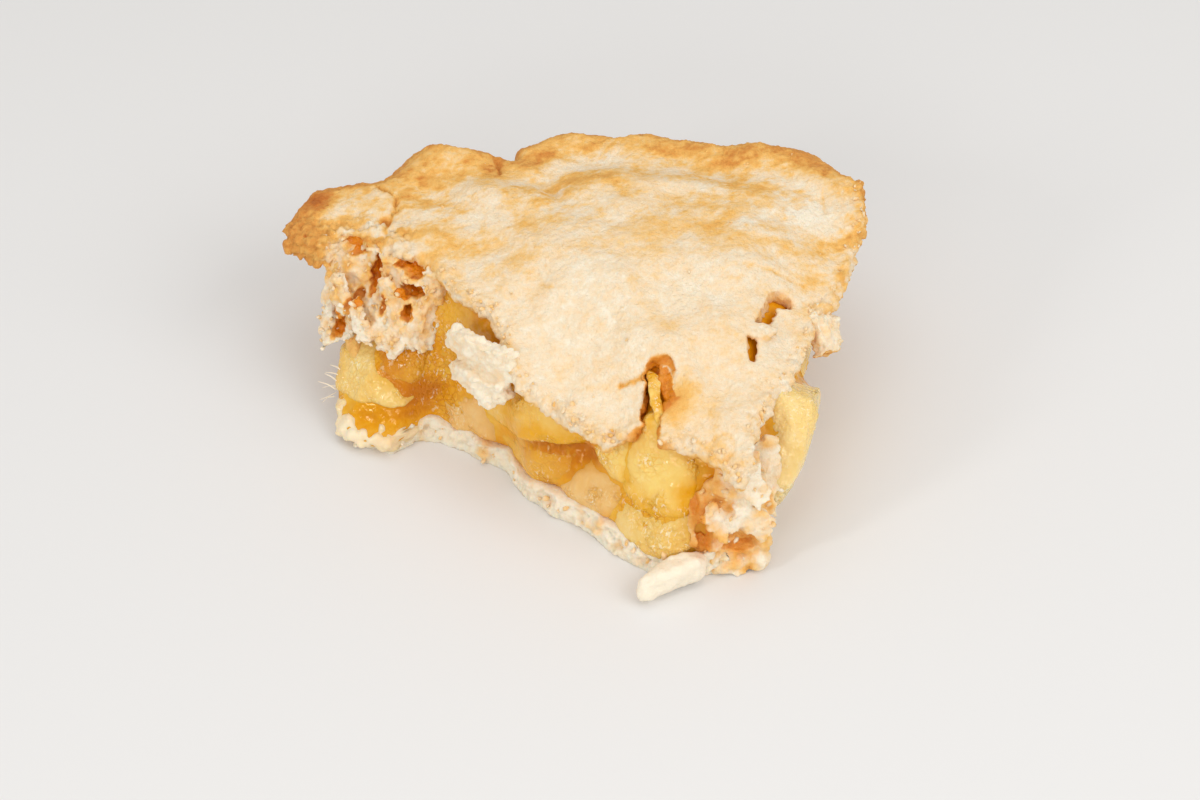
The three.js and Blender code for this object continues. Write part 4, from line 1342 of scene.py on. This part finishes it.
# Fibres of dough that stand out from the long cut's left end: along, up, length, lean to the rim, and rise
FIBRES = (
    (117, 9, 4.4, 1.0, 0.5), (117, 10.5, 3.6, 0.9, 0.8), (116.8, 12, 4.2, 0.9, 0.2),
    (117, 7.5, 4.2, 0.9, -0.4), (117, 8.5, 4.8, 0.7, -0.8), (116.8, 13, 3.4, 0.9, 0.6),
    (117, 9.8, 4.6, 0.8, -0.2),
)
FIBRE_WIDTHS = (0.3, 0.26, 0.14)
FIBRES_WITHIN = 7


def crumbs_on(name, count, low, high, seed):
    """Flat-sided crumbs from low to high across on a landing, as closed skins of their own"""
    points, normals, weight = LANDINGS[name]
    rng = np.random.default_rng(seed)
    picked = rng.choice(len(points), count, p=weight / weight.sum())
    base, faces = ball(2)
    made = []
    for i in picked:
        size = low + (high - low) * rng.random() ** 2
        turn = np.linalg.qr(rng.normal(size=(3, 3)))[0]
        chipped = base * rng.uniform(0.55, 1.3, (len(base), 1)) * (1, 0.8, 0.5)
        made.append((chipped @ turn * size / 2 + points[i] + normals[i] * size * 0.12, faces))
    return made


def fibre_root(along, up):
    return beside("long", (along, cut_face(along, up), up))


def fibre_shape(along, up, length, lean, rise):
    start = fibre_root(along, up)
    end = start + beside("long", (lean, 0.4, rise)) * length
    return strip_shape((start, (start + end) / 2 + (0, 0, 0.5), end), FIBRE_WIDTHS, 0)


def make_crumbs(material):
    """Loose crumbs of pastry and the fibres of dough"""
    made = [crumb for row in CRUMBS for crumb in crumbs_on(*row)]
    mesh = mesh_of(joined(made + [fibre_shape(*fibre) for fibre in FIBRES]))
    points = lifted(mesh, CRUMB_FLOOR)
    fibrous = distance_to(points[:, :2], fibre_root(*FIBRES[0][:2])[:2]) < FIBRES_WITHIN
    paint(mesh, bake=np.where(fibrous, 0, 0.26 + 0.2 * noise(points, 3, 86)), wet=0)
    piece("loose_crumbs", mesh, material, "dough")


torn = pastry("torn_pastry", mottle=0.12, fleck=0.10, grain=0.4, soft=0.5)
make_lid(pastry("baked_crust", mottle=0.11, fleck=0.11, grain=0.55))
make_bottom(pastry("soaked_crust", mottle=0.07, fleck=0.07, grain=0.4, gloss=0.3, soft=1.0))
make_crumbled(torn)
make_tip(torn)
for scrap, form in SCRAPS.items():
    make_scrap(scrap, *form, torn)
make_strip(pastry("wet_dough", mottle=0.03, fleck=0.03, grain=0.3, gloss=0.3))
apple_skins = make_apples({
    "yellow": fruit("yellow_fruit", (0.92, 0.65, 0.19), (0.82, 0.40, 0.008)),
    "golden": fruit("golden_fruit", (0.84, 0.47, 0.05), (0.68, 0.25, 0.0)),
    "pale": fruit("pale_fruit", (0.86, 0.56, 0.22), (0.76, 0.36, 0.04)),
    "white": fruit("white_fruit", (0.89, 0.66, 0.26), (0.82, 0.47, 0.07)),
    "clear": fruit("clear_fruit", (0.94, 0.79, 0.48), (0.88, 0.62, 0.22)),
    "cream": fruit("soaked_dough", (0.92, 0.78, 0.55), (0.88, 0.62, 0.30), rough=0.35),
})
make_syrup(syrup("amber_juice"), apple_skins)
make_crumbs(pastry("crumbs", mottle=0.12, fleck=0.10, grain=0.2))


# Stage

FLOOR_HALF = 2
LIT_POINT = (0, 0, 0.02)
FLOOR_COLOUR = (0.80, 0.79, 0.78, 1)
SKY_COLOUR = (1, 0.99, 0.97, 1)
SKY_STRENGTH = 0.55
# The lights' places, sizes and watts
LIGHTS = {
    "key": ((-0.04, 0.16, 1.2), (1.1, 1.1), 3.1),
    "fill": ((0.6, -0.6, 0.75), (0.9, 0.7), 4.5),
    "front": ((-0.4, -0.9, 0.45), (0.5, 0.2), 1.6),
    "glint": ((-0.92, -0.42, 0.52), (0.12, 0.3), 2.0),
}


def make_floor():
    s = Shader("pale_floor")
    s.set(base_color=FLOOR_COLOUR, roughness=0.5)
    corners = np.array([(-1, -1, 0), (1, -1, 0), (1, 1, 0), (-1, 1, 0)], float) * FLOOR_HALF
    floor = mesh_of((corners, np.array([(0, 1, 2, 3)])))
    floor.materials.append(s.material)
    object_of(floor, "floor")


def make_light(name, place, size, watts):
    light = bpy.data.lights.new(name, "AREA")
    light.energy = watts
    light.shape = "RECTANGLE"
    light.size, light.size_y = size
    lamp = object_of(light, name)
    lamp.location = place
    lamp.rotation_euler = (Vector(LIT_POINT) - Vector(place)).to_track_quat("-Z", "Y").to_euler()


def make_camera():
    data = bpy.data.cameras.new("camera")
    data.sensor_width = CAMERA_SENSOR
    data.lens = CAMERA_LENS
    data.clip_start = 0.01
    camera = object_of(data, "camera")
    camera.location = Vector((np.array(CAMERA_AT) + TIP) * MM)
    camera.rotation_euler = (math.radians(90 - CAMERA_DOWN), 0, math.radians(CAMERA_TURN))
    bpy.context.scene.camera = camera


def make_sky():
    world = bpy.data.worlds.new("sky")
    world.use_nodes = True
    background = world.node_tree.nodes["Background"].inputs
    background["Color"].default_value = SKY_COLOUR
    background["Strength"].default_value = SKY_STRENGTH
    bpy.context.scene.world = world


make_floor()
for light_name, light_form in LIGHTS.items():
    make_light(light_name, *light_form)
make_camera()
make_sky()
bpy.context.scene.view_settings.view_transform = "Standard"
